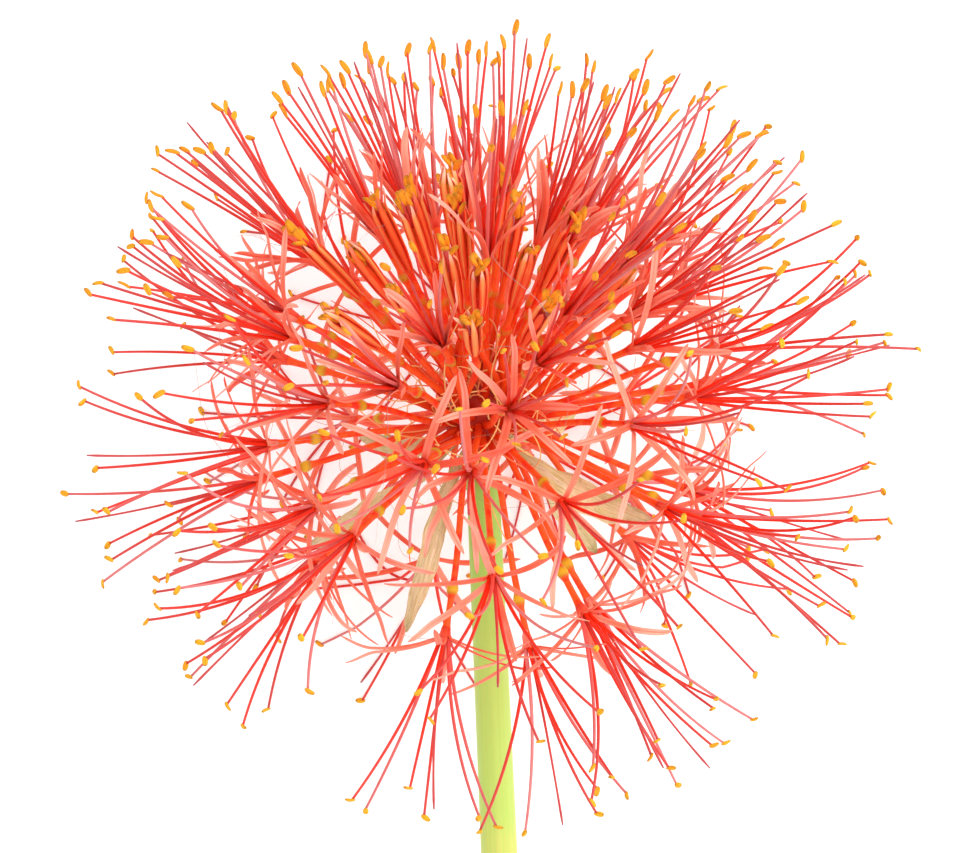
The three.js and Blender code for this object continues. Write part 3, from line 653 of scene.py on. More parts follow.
def places(path, count):
    """Reads even places off paths[tube, point] by a cubic through the four nearest points."""
    steps = path.shape[-2] - 1
    place = np.linspace(0, steps, count)
    left = np.minimum(place.astype(int), steps - 1)
    t = place - left
    cubic = [2 * t**2 - t**3 - t, 3 * t**3 - 5 * t**2 + 2, 4 * t**2 - 3 * t**3 + t, t**3 - t**2]
    weights = np.zeros((count, steps + 1))
    for shift, share in enumerate(cubic):
        np.add.at(weights, (np.arange(count), np.clip(left + shift - 1, 0, steps)), share / 2)
    return weights @ path


def frames(path, side):
    """The two directions square to paths[tube, ring], the first near side."""
    heading = unit(np.gradient(path, axis=-2))
    across = squared(np.broadcast_to(side[..., None, :], path.shape), heading)
    return across, np.cross(heading, across)


def turned(across, front, angle):
    """Both directions turned about the heading."""
    cos, sin = column(np.cos(angle)), column(np.sin(angle))
    return across * cos + front * sin, front * cos - across * sin


def carried(path, across, front, x, y):
    """Surface point = path point + x across + y front, for sections x, y[tube, ring, corner]."""
    surface = path[..., None, :] + column(x) * across[..., None, :] + column(y) * front[..., None, :]
    surface[..., 2] = np.maximum(surface[..., 2], LEAST_HEIGHT)
    return surface


def round_angles(sides):
    return np.arange(sides) * 2 * math.pi / sides


def placed(name, data, place=(0, 0, 0)):
    """Puts a mesh, light or camera into the scene."""
    thing = bpy.data.objects.new(name, data)
    thing.location = place
    bpy.context.scene.collection.objects.link(thing)
    return thing


class Skin:
    """Closed tubes gathered into one mesh. Each corner also carries its growth: how far along the
    organ it is, how far from the organ's middle or groove, and a tone that differs from organ to organ."""

    def __init__(self):
        self.points, self.growth, self.quads, self.fans = [], [], [], []
        self.quad_kinds, self.fan_kinds, self.count = [], [], 0

    def add(self, surface, edge, tone, kind, along=None):
        """surface[tube, ring, corner]: rings that follow each other are joined by four-cornered faces,
        and a fan round its own middle closes each end. kind may differ from ring to ring. Growth along
        the organ goes evenly from ring to ring unless it is given."""
        tubes, rings, sides, _ = surface.shape
        growth = np.empty(surface.shape)
        growth[..., 0] = column(np.linspace(0, 1, rings)) if along is None else along
        growth[..., 1], growth[..., 2] = edge, tone
        index = self.count + np.arange(tubes * rings * sides).reshape(tubes, rings, sides)
        after = np.roll(index, -1, axis=2)
        quads = np.stack([index[:, :-1], after[:, :-1], after[:, 1:], index[:, 1:]], -1)
        pole = self.count + index.size + np.arange(2 * tubes).reshape(tubes, 2, 1)
        pole = np.broadcast_to(pole, (tubes, 2, sides))
        first = np.stack([pole[:, 0], after[:, 0], index[:, 0]], -1)
        last = np.stack([pole[:, 1], index[:, -1], after[:, -1]], -1)
        for rows, values in ((self.points, surface), (self.growth, growth)):
            rows += [values.reshape(-1, 3), values[:, [0, -1]].mean(2).reshape(-1, 3)]
        self.quads.append(quads.reshape(-1, 4))
        self.fans.append(np.concatenate([first, last]).reshape(-1, 3))
        kind = np.broadcast_to(kind, rings - 1)
        self.quad_kinds.append(np.broadcast_to(kind[:, None], (tubes, rings - 1, sides)).ravel())
        self.fan_kinds.append(np.repeat(kind[[0, -1]], tubes * sides))
        self.count += index.size + 2 * tubes

    def tubes(self, path, side, radius, tone, kind, sides=THREAD_SIDES):
        """Round tubes: radius[ring] carried along path[tube, ring]. The edge is 0."""
        angle = round_angles(sides)
        x, y = column(radius) * np.cos(angle), column(radius) * np.sin(angle)
        self.add(carried(path, *frames(path, side), x, y), 0, column(column(tone)), kind)

    def ribbons(self, path, across, front, width, thickness, gutter, tone, kind):
        """Petals: a section like a gutter, x = width u / 2 and y = thickness v thinned towards the edges
        + gutter width u squared - a groove along the middle of the inner face, with u, v the cosine and
        sine of an angle. width and thickness are given per ring."""
        angle = round_angles(RIBBON_SIDES)
        u, v, half = np.cos(angle), np.sin(angle), column(width) / 2
        flesh = column(thickness) / 2 * v * (0.45 + 0.55 * (1 - u * u))
        groove = column(thickness) * 0.3 * np.exp(-((u / 0.3) ** 2)) * (v > 0)
        y = flesh + gutter * half * u * u - groove
        self.add(carried(path, across, front, half * u, y), np.abs(u), column(column(tone)), kind)

    def anthers(self, tips, ways, side, size, tone):
        """Pollen sacs: a blunt rod of two lobes, radius sin(pi t) to the power 0.3, times
        1 + 0.26 cos(2 angle) round it, a little flat and bent, and held by its back a third of the way
        along."""
        t, angle, (length, radius) = np.linspace(0.015, 0.985, ANTHER_RINGS), round_angles(ANTHER_SIDES), size
        bend = np.cross(ways, side)[:, None] * column(np.sin(math.pi * t)) * 0.22
        path = tips[:, None] + ways[:, None] * (column(t) - 0.3) * length + bend
        section = radius * column(np.sin(math.pi * t) ** 0.3) * (1 + 0.26 * np.cos(2 * angle))
        x, y = section * np.cos(angle), 0.82 * section * np.sin(angle)
        surface = carried(path, *frames(path, side), x, y)
        self.add(surface, np.abs(np.cos(angle)), column(column(tone)), POLLEN, column(t))

    def trunk(self, trunk, tube, mouth, ripe):
        """Pedicel, ovary and tube: a radius carried along the bent pedicel and then the floret's axis. The
        ovary has three lobes and the tube six ribs, and the mouth is dished. On the ovary the edge rises to
        how ripe it is. The tone has three slow stripes round the pedicel, and one on each rib."""
        shares, ovary, flue = np.linspace(-0.12, 1, 15), np.linspace(0, 1, 9)[1:], np.linspace(0, 1, 8)[1:]
        foot, top, neck = 2 * OVARY_HALF_LENGTH, len(shares), len(shares) + len(ovary)
        inside = np.array([-0.1, -0.35, -0.5])
        ahead = np.concatenate([ovary * foot, foot + flue * tube, foot + tube + inside])
        stalk = pedicel_points(trunk.root, trunk.towards, trunk.reach, shares)
        path = np.vstack([stalk, trunk.line[2] + trunk.towards * column(ahead)])[None]
        stalk_radius = 0.78 + 0.35 * np.exp(-np.maximum(shares, 0) * 14)
        ovary_radius = WAIST + 0.6 * np.sin(math.pi * ovary) ** 1.8
        tube_radius = WAIST + (mouth - WAIST) * smooth(flue, 0.3, 1.0) ** 1.4
        dish = mouth * np.array([0.82, 0.5, 0.2])
        radius = np.concatenate([stalk_radius, ovary_radius, tube_radius, dish])
        on_ovary, ribbed = np.zeros(len(radius)), np.zeros(len(radius))
        on_ovary[top:neck], ribbed[neck:] = np.sin(math.pi * ovary) ** 2, 0.07
        across, front = frames(path, trunk.radial(0)[None])
        across[:, top:], front[:, top:] = across[:, top - 1 : top], front[:, top - 1 : top]
        angle, along = round_angles(TRUNK_SIDES), column(np.linspace(0, 1, len(radius)))
        ribs = column(ribbed) * np.cos(6 * angle)
        section = column(radius) * (1 + 0.1 * column(on_ovary) * np.cos(3 * angle) + ribs)
        stripes = 0.25 * np.cos(3 * angle + 5 * along) * column(ribbed == 0)
        surface = carried(path, across, front, section * np.cos(angle), section * np.sin(angle))
        self.add(surface, column(on_ovary) * ripe, draw(trunk.i, 47) + stripes + 4 * ribs, STALK)

    def piece(self, name, node, slot, materials):
        """Puts the arrays into a mesh whose place is in its points, and stands it in for its solid."""
        points, growth = np.concatenate(self.points) * MM, np.concatenate(self.growth)
        quads, fans = np.concatenate(self.quads), np.concatenate(self.fans)
        corners = np.concatenate([quads.ravel(), fans.ravel()])
        starts = np.concatenate([np.arange(len(quads)) * 4, quads.size + np.arange(len(fans)) * 3])
        mesh = bpy.data.meshes.new(name)
        mesh.vertices.add(len(points))
        mesh.loops.add(len(corners))
        mesh.polygons.add(len(starts))
        for material in materials:
            mesh.materials.append(material)
        rows = [
            (mesh.vertices, "co", points, np.float32),
            (mesh.loops, "vertex_index", corners, np.int32),
            (mesh.polygons, "loop_start", starts, np.int32),
            (mesh.polygons, "material_index", np.concatenate(self.quad_kinds + self.fan_kinds), np.int32),
            (mesh.polygons, "use_smooth", np.ones(len(starts)), bool),
            (mesh.attributes.new("growth", "FLOAT_VECTOR", "POINT").data, "vector", growth, np.float32),
        ]
        for data, key, values, kind in rows:
            data.foreach_set(key, values.ravel().astype(kind))
        mesh.update(calc_edges=True)
        if mesh.validate():
            raise RuntimeError(f"{name} has faces that can't be")
        piece = placed(name, mesh)
        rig.ride(piece, "root")
        if node:
            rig.replaces(piece, node)
            check_place(piece, node, points)
        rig.slot(piece, slot)


def check_place(piece, node, points):
    """A piece that leaves its solid's place means that the growth rule and the solids no longer agree."""
    low, high = (np.array(corner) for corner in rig.box(node))
    off = np.abs(np.concatenate([points.min(0) - low, points.max(0) - high])).max() / MM
    if off > MOST_OFF:
        raise RuntimeError(f"{piece.name} is {off:.1f} mm off its solid {node}")


# Materials
# Black darkens the stalks' feet as painted shade, and gives the stem its dark specks
BLACK, WHITE, GREY = (0, 0, 0, 1), (1, 1, 1, 1), (0.8, 0.8, 0.8, 1)
SPECULAR_LEVEL = 0.3
# How far apart the noise lies in organs of different tone
TONE_APART = 37.0


def mixed(a, b, share):
    return tuple((np.array(a) * (1 - share) + np.array(b) * share).tolist())


def add_node(tree, kind, inputs=None, stops=(), **settings):
    """Adds a node. inputs gives each socket, by name or number, a value or the output that feeds it, and
    stops gives a colour ramp its places and colours."""
    node = tree.nodes.new(kind)
    for name, value in settings.items():
        setattr(node, name, value)
    for socket, value in (inputs or {}).items():
        if isinstance(value, bpy.types.NodeSocket):
            tree.links.new(value, node.inputs[socket])
        else:
            node.inputs[socket].default_value = value
    while stops and len(node.color_ramp.elements) < len(stops):
        node.color_ramp.elements.new(1)
    for number, (place, colour) in enumerate(stops):
        element = node.color_ramp.elements[number]
        element.position, element.color = place, colour
    return node


class Coat:
    """A material under way: its node tree, its surface, its colour so far, and the mesh's growth, which is
    along the organ, away from its middle to its edge, and its tone."""

    def __init__(self, name, ior, colour, *stops):
        """The first colour is plain, or it runs along the organ over stops."""
        self.material = bpy.data.materials.new(name)
        self.material.use_nodes = True
        self.tree = self.material.node_tree
        self.tree.nodes.clear()
        surface = {"IOR": ior, "Specular IOR Level": SPECULAR_LEVEL}
        self.shader = add_node(self.tree, "ShaderNodeBsdfPrincipled", surface)
        add_node(self.tree, "ShaderNodeOutputMaterial", {"Surface": self.shader.outputs[0]})
        growth = add_node(self.tree, "ShaderNodeAttribute", attribute_name="growth").outputs["Vector"]
        self.along, self.edge, self.tone = add_node(self.tree, "ShaderNodeSeparateXYZ", {0: growth}).outputs
        self.colour = colour
        if stops:
            ramp = [(0, colour), *stops]
            self.colour = add_node(self.tree, "ShaderNodeValToRGB", {0: self.along}, ramp).outputs[0]

    def fibres(self, lines, length, detail=2.0, tangle=0.0):
        """Noise drawn out along the organ: so many lines from its middle to its edge, and lengths along
        it. Tangle lets them wander across each other."""
        pairs = (self.edge, lines), (self.along, length), (self.tone, TONE_APART)
        place = [add_node(self.tree, "ShaderNodeMath", {0: a, 1: b}, operation="MULTIPLY") for a, b in pairs]
        place = {number: node.outputs[0] for number, node in enumerate(place)}
        place = add_node(self.tree, "ShaderNodeCombineXYZ", place).outputs[0]
        inputs = {"Vector": place, "Scale": 1.0, "Detail": detail, "Distortion": tangle}
        return add_node(self.tree, "ShaderNodeTexNoise", inputs).outputs[0]

    def grains(self, size, detail=2.0):
        """Noise in the object's own place, with features of a size in millimetres."""
        place = add_node(self.tree, "ShaderNodeTexCoord").outputs["Object"]
        inputs = {"Vector": place, "Scale": 1 / (size * MM), "Detail": detail}
        return add_node(self.tree, "ShaderNodeTexNoise", inputs).outputs[0]

    def lay(self, colour, by, low, high, most=1.0):
        """Lays a colour over it: none of it where the factor is low, most where it is high."""
        share = {"Value": by, "From Min": low, "From Max": high, "To Max": most}
        share = add_node(self.tree, "ShaderNodeMapRange", share, interpolation_type="SMOOTHSTEP").outputs[0]
        layers = {0: share, 6: self.colour, 7: colour}
        self.colour = add_node(self.tree, "ShaderNodeMix", layers, data_type="RGBA").outputs[2]

    def finished(self, texture, low, high, depth):
        """The material with its colour, and with a roughness from low to high and a bump, of a depth in
        millimetres, that both follow one texture."""
        rough = {"Value": texture, "From Min": 0.3, "From Max": 0.7, "To Min": low, "To Max": high}
        rough = add_node(self.tree, "ShaderNodeMapRange", rough)
        bump = add_node(self.tree, "ShaderNodeBump", {"Height": texture, "Distance": depth * MM})
        self.tree.links.new(self.colour, self.shader.inputs["Base Color"])
        self.tree.links.new(rough.outputs[0], self.shader.inputs["Roughness"])
        self.tree.links.new(bump.outputs[0], self.shader.inputs["Normal"])
        return self.material


def petal_flesh(red, coral, pale):
    """Living petal: thin waxy flesh with fine veins. The wax gives soft, narrow highlights, and the
    flesh is red inside the tube and along its groove, and coral to pale coral further out. Just past the
    throat it is paler, a painted highlight."""
    # throat: the paler coral just past the throat, a painted highlight
    throat, tip = mixed(coral, pale, 0.4), mixed(pale, coral, 0.5)
    coat = Coat("petal_flesh", 1.4, red, (0.1, coral), (0.2, throat), (0.4, coral), (0.85, pale), (1, tip))
    coat.lay(mixed(red, coral, 0.55), coat.edge, 0.5, 0.0, 0.6)
    coat.lay(mixed(red, coral, 0.45), coat.tone, 0.45, 1.0, 0.7)
    coat.lay(pale, coat.tone, 0.4, 0.0, 0.7)
    veins = coat.fibres(5.0, 6.0)
    coat.lay(pale, veins, 0.5, 0.75, 0.35)
    return coat.finished(veins, 0.34, 0.5, 0.08)


def filament_flesh(foot, red, pink, dark):
    """Stamen thread: smooth, turgid flesh, glossier than the petals, red at its foot and a little
    pinker towards the anther. A few are paler all along."""
    stops = (0.2, foot), (0.5, red), (0.95, pink), (1, mixed(pink, dark, 0.3))
    coat = Coat("filament_flesh", 1.4, foot, *stops)
    coat.lay(foot, coat.tone, 0.4, 1.0, 0.5)
    coat.lay(mixed(pink, WHITE, 0.25), coat.tone, 0.4, 0.0, 0.6)
    soft = coat.grains(3.0)
    coat.lay(pink, soft, 0.5, 0.8, 0.4)
    return coat.finished(soft, 0.3, 0.42, 0.02)


def style_flesh(red, pink, dark):
    """Style: like a stamen thread, but it turns dull purple where the stigma starts."""
    coat = Coat("style_flesh", 1.4, red, (0.7, pink), (0.95, mixed(pink, dark, 0.4)), (1, dark))
    soft = coat.grains(2.0)
    coat.lay(red, soft, 0.5, 0.8, 0.4)
    return coat.finished(soft, 0.32, 0.5, 0.02)


def pollen_sac(gold, orange, brown):
    """Burst anther: a crust of dry pollen grains. It scatters light, so it has no highlight. It is
    browner in the furrow between the sacs and at both ends, and orange in the young florets."""
    coat = Coat("pollen_sac", 1.45, gold)
    young = {0: coat.tone, 6: gold, 7: orange}
    coat.colour = add_node(coat.tree, "ShaderNodeMix", young, data_type="RGBA").outputs[2]
    crust = coat.grains(0.35)
    coat.lay(brown, crust, 0.6, 0.3, 0.35)
    coat.lay(brown, coat.edge, 0.4, 0.0, 0.5)
    coat.lay(brown, coat.along, 0.12, 0.0, 0.75)
    coat.lay(brown, coat.along, 0.75, 1.0, 0.75)
    return coat.finished(crust, 0.95, 0.75, 0.12)


def stalk_skin(red, orange, olive, yellow):
    """Pedicel, ovary and tube: smooth cuticle over juicy flesh, which shines softly. The stalk is red
    with orange streaks and darkens towards its foot as painted shade where the stalks crowd the knob,
    and the ovary is yellow inside an olive rim."""
    coat = Coat("stalk_skin", 1.42, red)
    blush = coat.grains(3.0)
    coat.lay(orange, blush, 0.35, 0.6, 0.85)
    coat.lay(orange, coat.tone, 0.4, 1.0, 0.6)
    # Painted shade: the stalks darken towards the knob, where they crowd together; a bud's core darkens likewise
    # towards its foot
    coat.lay(mixed(red, BLACK, 0.25), coat.along, 0.25, 0.0, 0.8)
    coat.lay(mixed(orange, yellow, 0.5), coat.fibres(2.0, 9.0), 0.55, 0.75, 0.35)
    coat.lay(olive, coat.edge, 0.2, 0.7, 0.8)
    coat.lay(yellow, coat.edge, 0.5, 1.0, 0.85)
    return coat.finished(blush, 0.3, 0.46, 0.05)


def bud_flesh(red, salmon, straw, pale):
    """Petals still held together in bud: thicker, duller flesh. Each back is salmon with a straw rib whose
    crest also carries a painted highlight, and its edges are painted shade, a deep red that stands in
    for the shade in the gap beside it. Its tip is bleached and a little dry."""
    stops = (0.1, mixed(red, salmon, 0.5)), (0.45, salmon), (0.8, mixed(salmon, straw, 0.5)), (0.93, pale)
    coat = Coat("bud_flesh", 1.4, red, *stops)
    # Straw along the middle of each back: the rib's own colour, and a painted highlight on its crest
    coat.lay(straw, coat.edge, 0.5, 0.0, 0.75)
    coat.lay(mixed(red, salmon, 0.6), coat.tone, 0.55, 0.1, 0.8)
    coat.lay(straw, coat.tone, 0.82, 0.95, 0.6)
    veins = coat.fibres(4.0, 4.0)
    coat.lay(straw, veins, 0.55, 0.75, 0.5)
    # Painted shade: deep red at each petal's edges stands in for the shade in the gaps between the petals
    coat.lay(red, coat.edge, 0.6, 1.0, 0.85)
    return coat.finished(veins, 0.4, 0.6, 0.12)


def stem_skin(green, pale, red):
    """Scape: a smooth, waxy green skin with faint long ridges. It is yellower where light comes
    through, greener near the head, and turns a dark red on the knob among the stalks: the knob's own red,
    darkened as painted shade since the stalks crowd over it."""
    coat = Coat("stem_skin", 1.42, mixed(green, pale, 0.55))
    lines = coat.fibres(24.0, 3.0, 3.0)
    coat.lay(pale, coat.grains(30.0), 0.4, 0.6, 0.7)
    coat.lay(green, lines, 0.5, 0.3, 0.35)
    coat.lay(mixed(green, BLACK, 0.4), coat.grains(0.9), 0.7, 0.85, 0.25)
    coat.lay(green, coat.along, 0.7, 0.88, 0.75)
    # The knob's red is partly its own colour and partly painted shade under the crowded stalks
    coat.lay(red, coat.along, 0.895, 0.945)
    return coat.finished(lines, 0.3, 0.46, 0.06)


def cut_pith(green, pale, white):
    """The cut end: wet, spongy pith with darker spots where the vessels run, inside a green rim."""
    coat = Coat("cut_pith", 1.36, mixed(pale, white, 0.6))
    place = add_node(coat.tree, "ShaderNodeTexCoord").outputs["Object"]
    cells = add_node(coat.tree, "ShaderNodeTexVoronoi", {"Vector": place, "Scale": 1 / (0.9 * MM)})
    cells = cells.outputs["Distance"]
    coat.lay(green, cells, 0.35, 0.0, 0.7)
    coat.lay(green, coat.edge, 0.82, 1.0)
    return coat.finished(cells, 0.35, 0.6, 0.15)


def bract_paper(green, straw, brown):
    """Spathe bract: dried, papery tissue with long fibres that come loose and cross. It is matt, green
    at its foot and in patches, straw beyond it, and brown at its tip and in speckles. Some are browner."""
    stops = (0.3, mixed(green, straw, 0.6)), (0.55, straw), (0.93, mixed(straw, brown, 0.2)), (1, brown)
    coat = Coat("bract_paper", 1.45, green, *stops)
    ribs, hairs = coat.fibres(12.0, 2.5, 4.0), coat.fibres(26.0, 7.0, 3.0, 2.4)
    coat.lay(green, coat.grains(8.0), 0.5, 0.35, 0.8)
    coat.lay(mixed(straw, brown, 0.35), coat.tone, 0.5, 0.95, 0.6)
    coat.lay(mixed(straw, WHITE, 0.5), ribs, 0.52, 0.68, 0.6)
    coat.lay(mixed(green, brown, 0.3), ribs, 0.46, 0.34, 0.5)
    coat.lay(mixed(straw, WHITE, 0.6), hairs, 0.56, 0.68, 0.7)
    coat.lay(mixed(straw, brown, 0.6), hairs, 0.46, 0.34, 0.65)
    coat.lay(brown, coat.grains(0.9), 0.66, 0.76, 0.6)
    return coat.finished(hairs, 0.8, 0.58, 0.3)


def dry_thread(name, grey, brown):
    """Dried fibre, hair-thin or as fine as twine: dull, and too thin for any highlight."""
    coat = Coat(name, 1.45, grey)
    coat.lay(brown, coat.tone, 0.2, 0.9)
    return coat.finished(coat.grains(6.0), 0.9, 0.7, 0.01)


def opal_acrylic(white, glow):
    """Table: matt white acrylic sheet, lit a little from below. The glow takes the shadows off it. Its
    tooth is too fine to see."""
    coat = Coat("opal_acrylic", 1.49, white)
    tooth = coat.grains(1.2, 3.0)
    coat.lay(mixed(white, GREY, 0.1), tooth, 0.3, 0.7)
    coat.shader.inputs["Emission Color"].default_value = white
    coat.shader.inputs["Emission Strength"].default_value = glow
    return coat.finished(tooth, 0.8, 0.7, 0.01)


# Sizes and colours


def tint(name, of, code):
    described = {"name": name, "description": f"Colour of {of}", "default": linear(code)}
    return bpy.props.FloatVectorProperty(**described, subtype="COLOR", size=4, min=0, max=1)


def measure(name, description, default):
    return bpy.props.FloatProperty(name=name, description=description, default=default, unit="LENGTH", min=0)


def how_many(name, of, default):
    return bpy.props.IntProperty(name=name, description=f"How many {of}", default=default, min=1)


def strength(name, description, default, unit="NONE"):
    return bpy.props.FloatProperty(name=name, description=description, default=default, unit=unit, min=0)


def colours(settings, *names):
    return [tuple(getattr(settings, name)) for name in names]


class StemSettings(bpy.types.PropertyGroup):
    green: tint("Green", "the stem's shaded skin", "#94CA58")
    pale: tint("Pale green", "the stem's lit skin and its pith", "#C6C262")
    # The knob's dark red is partly painted shade under the crowded stalks
    knob: tint("Knob", "the knob among the stalks", "#A4200C")
    pith: tint("Pith", "the pith at the cut end", "#E9F0C8")


class BractSettings(bpy.types.PropertyGroup):
    green: tint("Foot", "a bract's foot", "#D2D27E")
    straw: tint("Straw", "the dried blade", "#F8E6AC")
    brown: tint("Tip", "tips and speckles", "#946030")
    thickness: measure("Thickness", "Thickness of a bract's blade", 0.0004)


class FloretSettings(bpy.types.PropertyGroup):
    petal_width: measure("Petal width", "Greatest width of a petal", 0.0018)
    petal_thickness: measure("Petal thickness", "Thickness of a petal at its middle", 0.0005)
    filament_radius: measure("Filament radius", "Radius of a stamen's thread at its foot", 0.00045)
    # Red also gives the painted shade at the bud petals' edges, and darkened, on the stalks' feet
    red: tint("Red", "stalks, tubes and petal feet", "#EA2A0A")
    coral: tint("Coral", "petals", "#EC6848")
    pale: tint("Pale coral", "petal edges and veins", "#F6A08A")
    orange: tint("Orange", "the blush on the stalks", "#F05A18")
    olive: tint("Ovary rim", "the rims round the ovaries", "#B49020")
    yellow: tint("Ovary", "the ovaries' swelling", "#DCAC20")
    deep: tint("Deep red", "the lower filaments", "#CE2C1E")
    pink: tint("Pink", "the upper filaments", "#C24442")
    purple: tint("Purple", "the style's tip", "#A8444C")
    gold: tint("Pollen", "fresh pollen", "#E8AC20")
    amber: tint("Young pollen", "the anthers in young florets", "#F28C1C")
    brown: tint("Old pollen", "the anthers' ends and furrows", "#A06818")


class BudSettings(bpy.types.PropertyGroup):
    salmon: tint("Salmon", "the petals' backs", "#F26430")
    # Straw also paints the highlight on the crest of each bud petal's rib
    straw: tint("Straw", "the petals' ridges", "#F0AE62")
    pale: tint("Pale tip", "the bleached tips", "#F4D4C0")
    petal_width: measure("Petal width", "Greatest width of a petal in bud", 0.0016)


class ThreadSettings(bpy.types.PropertyGroup):
    count: how_many("Count", "loose threads", 36)
    radius: measure("Radius", "Radius of a thread", 0.00006)
    grey: tint("Grey", "a dry thread", "#A39A94")
    brown: tint("Brown", "a brown thread", "#9A7260")
    curls: how_many("Curls", "curled bracteoles on the knob", 90)
    curl_radius: measure("Curl radius", "Radius of a curled bracteole", 0.00022)
    straw: tint("Straw", "a dry bracteole", "#EEBE78")
    coral: tint("Coral", "a fresh bracteole", "#F07048")


class StageSettings(bpy.types.PropertyGroup):
    table: tint("Table", "the table", "#E9E8E8")
    glow: strength("Glow", "Strength of the light through the table", 0.32)
    sky: strength("Sky", "Strength of the light from all round", 1.25)
    key: strength("Key light", "Power of the main soft light", 9.0, "POWER")
    distance: measure("Camera distance", "How far the camera stands over the knob", 0.9)


class FlowerSettings(bpy.types.PropertyGroup):
    stem: bpy.props.PointerProperty(type=StemSettings)
    bracts: bpy.props.PointerProperty(type=BractSettings)
    florets: bpy.props.PointerProperty(type=FloretSettings)
    buds: bpy.props.PointerProperty(type=BudSettings)
    threads: bpy.props.PointerProperty(type=ThreadSettings)
    stage: bpy.props.PointerProperty(type=StageSettings)


# Pieces
FINISHED = {"FINISHED"}


class FLOWER_OT_stem(bpy.types.Operator):
    """Builds the stem with its knob and its cut end"""

    bl_idname = "flower.stem"
    bl_label = "Stem"

    def execute(self, context):
        """Rings square to the stem's line. They open out from the middle of the cut end, which is a
        little dished, run up the stem with an even taper, and close over the knob's lumpy sphere."""
        neck, opening = NECK_DISTANCE / STEM_LENGTH, np.array([0.06, 0.3, 0.55, 0.8, 0.95])
        cut, dish = len(opening), column([-0.5, -0.55, -0.45, -0.2, 0])
        share = np.concatenate([np.ones(cut), np.linspace(1, neck, STEM_RINGS)])
        place, up = share * STEM_STEPS, (1 - share) / (1 - neck)
        below = np.minimum(place.astype(int), STEM_STEPS - 1)
        stem = mix(STEM_POINTS[below], STEM_POINTS[below + 1], column(place - below))
        stem[:cut] -= stem_heading(1) * dish
        polar = np.linspace(0.87, 0.02, KNOB_RINGS) * math.pi
        path = np.vstack([stem, HEAD_CENTRE + HEAD_AXIS * column(KNOB_RADIUS * np.cos(polar))])[None]
        radius = mix(STEM_RADIUS_AT_CUT, STEM_RADIUS_AT_NECK, up)
        radius[:cut] *= opening
        radius = np.concatenate([radius, KNOB_RADIUS * np.sin(polar)])
        along = column(np.concatenate([up * STEM_TO, np.linspace(KNOB_FROM, 1, KNOB_RINGS)]))
        heading = np.vstack([-stem_heading(share), np.tile(HEAD_AXIS, (KNOB_RINGS, 1))])[None]
        across = squared(np.broadcast_to(HEAD_FRONT, heading.shape), heading)
        angle = round_angles(STEM_SIDES)
        ridge = 1 + 0.008 * np.cos(9 * angle + 0.6) + 0.004 * np.cos(17 * angle)
        lumps = 0.05 * np.cos(7 * angle + 200 * along) * (along > LUMPS_FROM)
        section = column(radius) * (ridge + lumps)
        x, y = section * np.cos(angle), section * np.sin(angle)
        edge = np.tile(np.abs(angle / math.pi - 1), (len(along), 1))
        edge[:cut] = column(opening)
        kind = np.where(np.arange(len(along) - 1) < cut, 1, 0)
        skin = Skin()
        skin.add(carried(path, across, np.cross(heading, across), x, y), edge, 0.5, kind, along)
        green, pale, knob, pith = colours(context.scene.flower.stem, "green", "pale", "knob", "pith")
        skin.piece("scape", "stem", "stem", [stem_skin(green, pale, knob), cut_pith(green, pale, pith)])
        return FINISHED


class FLOWER_OT_bracts(bpy.types.Operator):
    """Builds the papery bracts under the head"""

    bl_idname = "flower.bracts"
    bl_label = "Bracts"

    def blade(self, bract, phase, thickness):
        """A thin arched section x = half width u, y = thickness v / 2 + arch (1 - u squared) + edges that
        roll over and ruffle, carried along the bract's line while it twists. The outline is uneven."""
        angle, share = round_angles(BRACT_SIDES), np.linspace(0, 1, BRACT_RINGS)
        u, v, s = np.cos(angle), np.sin(angle), column(share)
        path = places(bract.points[None], BRACT_RINGS)
        across, front = turned(*frames(path, bract.side[None]), bract.twist * share[None])
        half = column(np.interp(share, *BRACT_OUTLINE) * bract.width / 2)
        torn = 0.05 * np.sin(37 * s - phase + 3 * u) * np.abs(u)
        notch = 0.86 + 0.1 * np.sin(9 * s + phase + 2 * u) + torn
        ruffle = 0.1 * np.sin(17 * s + phase + np.sign(u)) * np.abs(u) ** 3
        ribs = 0.03 * np.cos(13 * math.pi * u) * (1 - u * u)
        rolled = 0.55 * smooth(np.sin(5 * s + phase * np.sign(u)), -0.6, 0.6) * np.abs(u) ** 4
        x = half * u * notch * (1 - 0.25 * rolled)
        flesh = thickness / 2 * v * (0.5 + 0.5 * (1 - u * u))
        y = flesh + half * (0.32 * (1 - u * u) + ruffle + ribs + rolled)
        return carried(path, across, front, x, y), u * 0.5 + 0.5

    def execute(self, context):
        settings = context.scene.flower.bracts
        paper = bract_paper(*colours(settings, "green", "straw", "brown"))
        for index, bract in enumerate(flower_plan().bracts):
            node, key = f"bract_{index + 1:02d}", BRACT_KEY + index
            skin = Skin()
            skin.add(*self.blade(bract, spread(3, key, 1), settings.thickness / MM), draw(key, 2), 0)
            skin.piece(f"papery_{node}", node, "bract", [paper])
        return FINISHED


def floret_materials(settings):
    """The finishes of a floret: stalk, petal, filament, style and pollen, in that order."""
    red, deep, pink, purple = colours(settings, "red", "deep", "pink", "purple")
    return [
        stalk_skin(red, *colours(settings, "orange", "olive", "yellow")),
        petal_flesh(red, *colours(settings, "coral", "pale")),
        filament_flesh(red, deep, pink, purple),
        style_flesh(deep, pink, purple),
        pollen_sac(*colours(settings, "gold", "amber", "brown")),
    ]


def grown(floret, points, depth, inwards):
    """Organs' paths on through their points, from feet that are so deep in the tube and so far inwards."""
    foot = points[:, 0] - floret.towards * depth - floret.radial(np.arange(len(points))) * inwards
    return places(np.concatenate([foot[:, None], points], 1), ORGAN_RINGS)


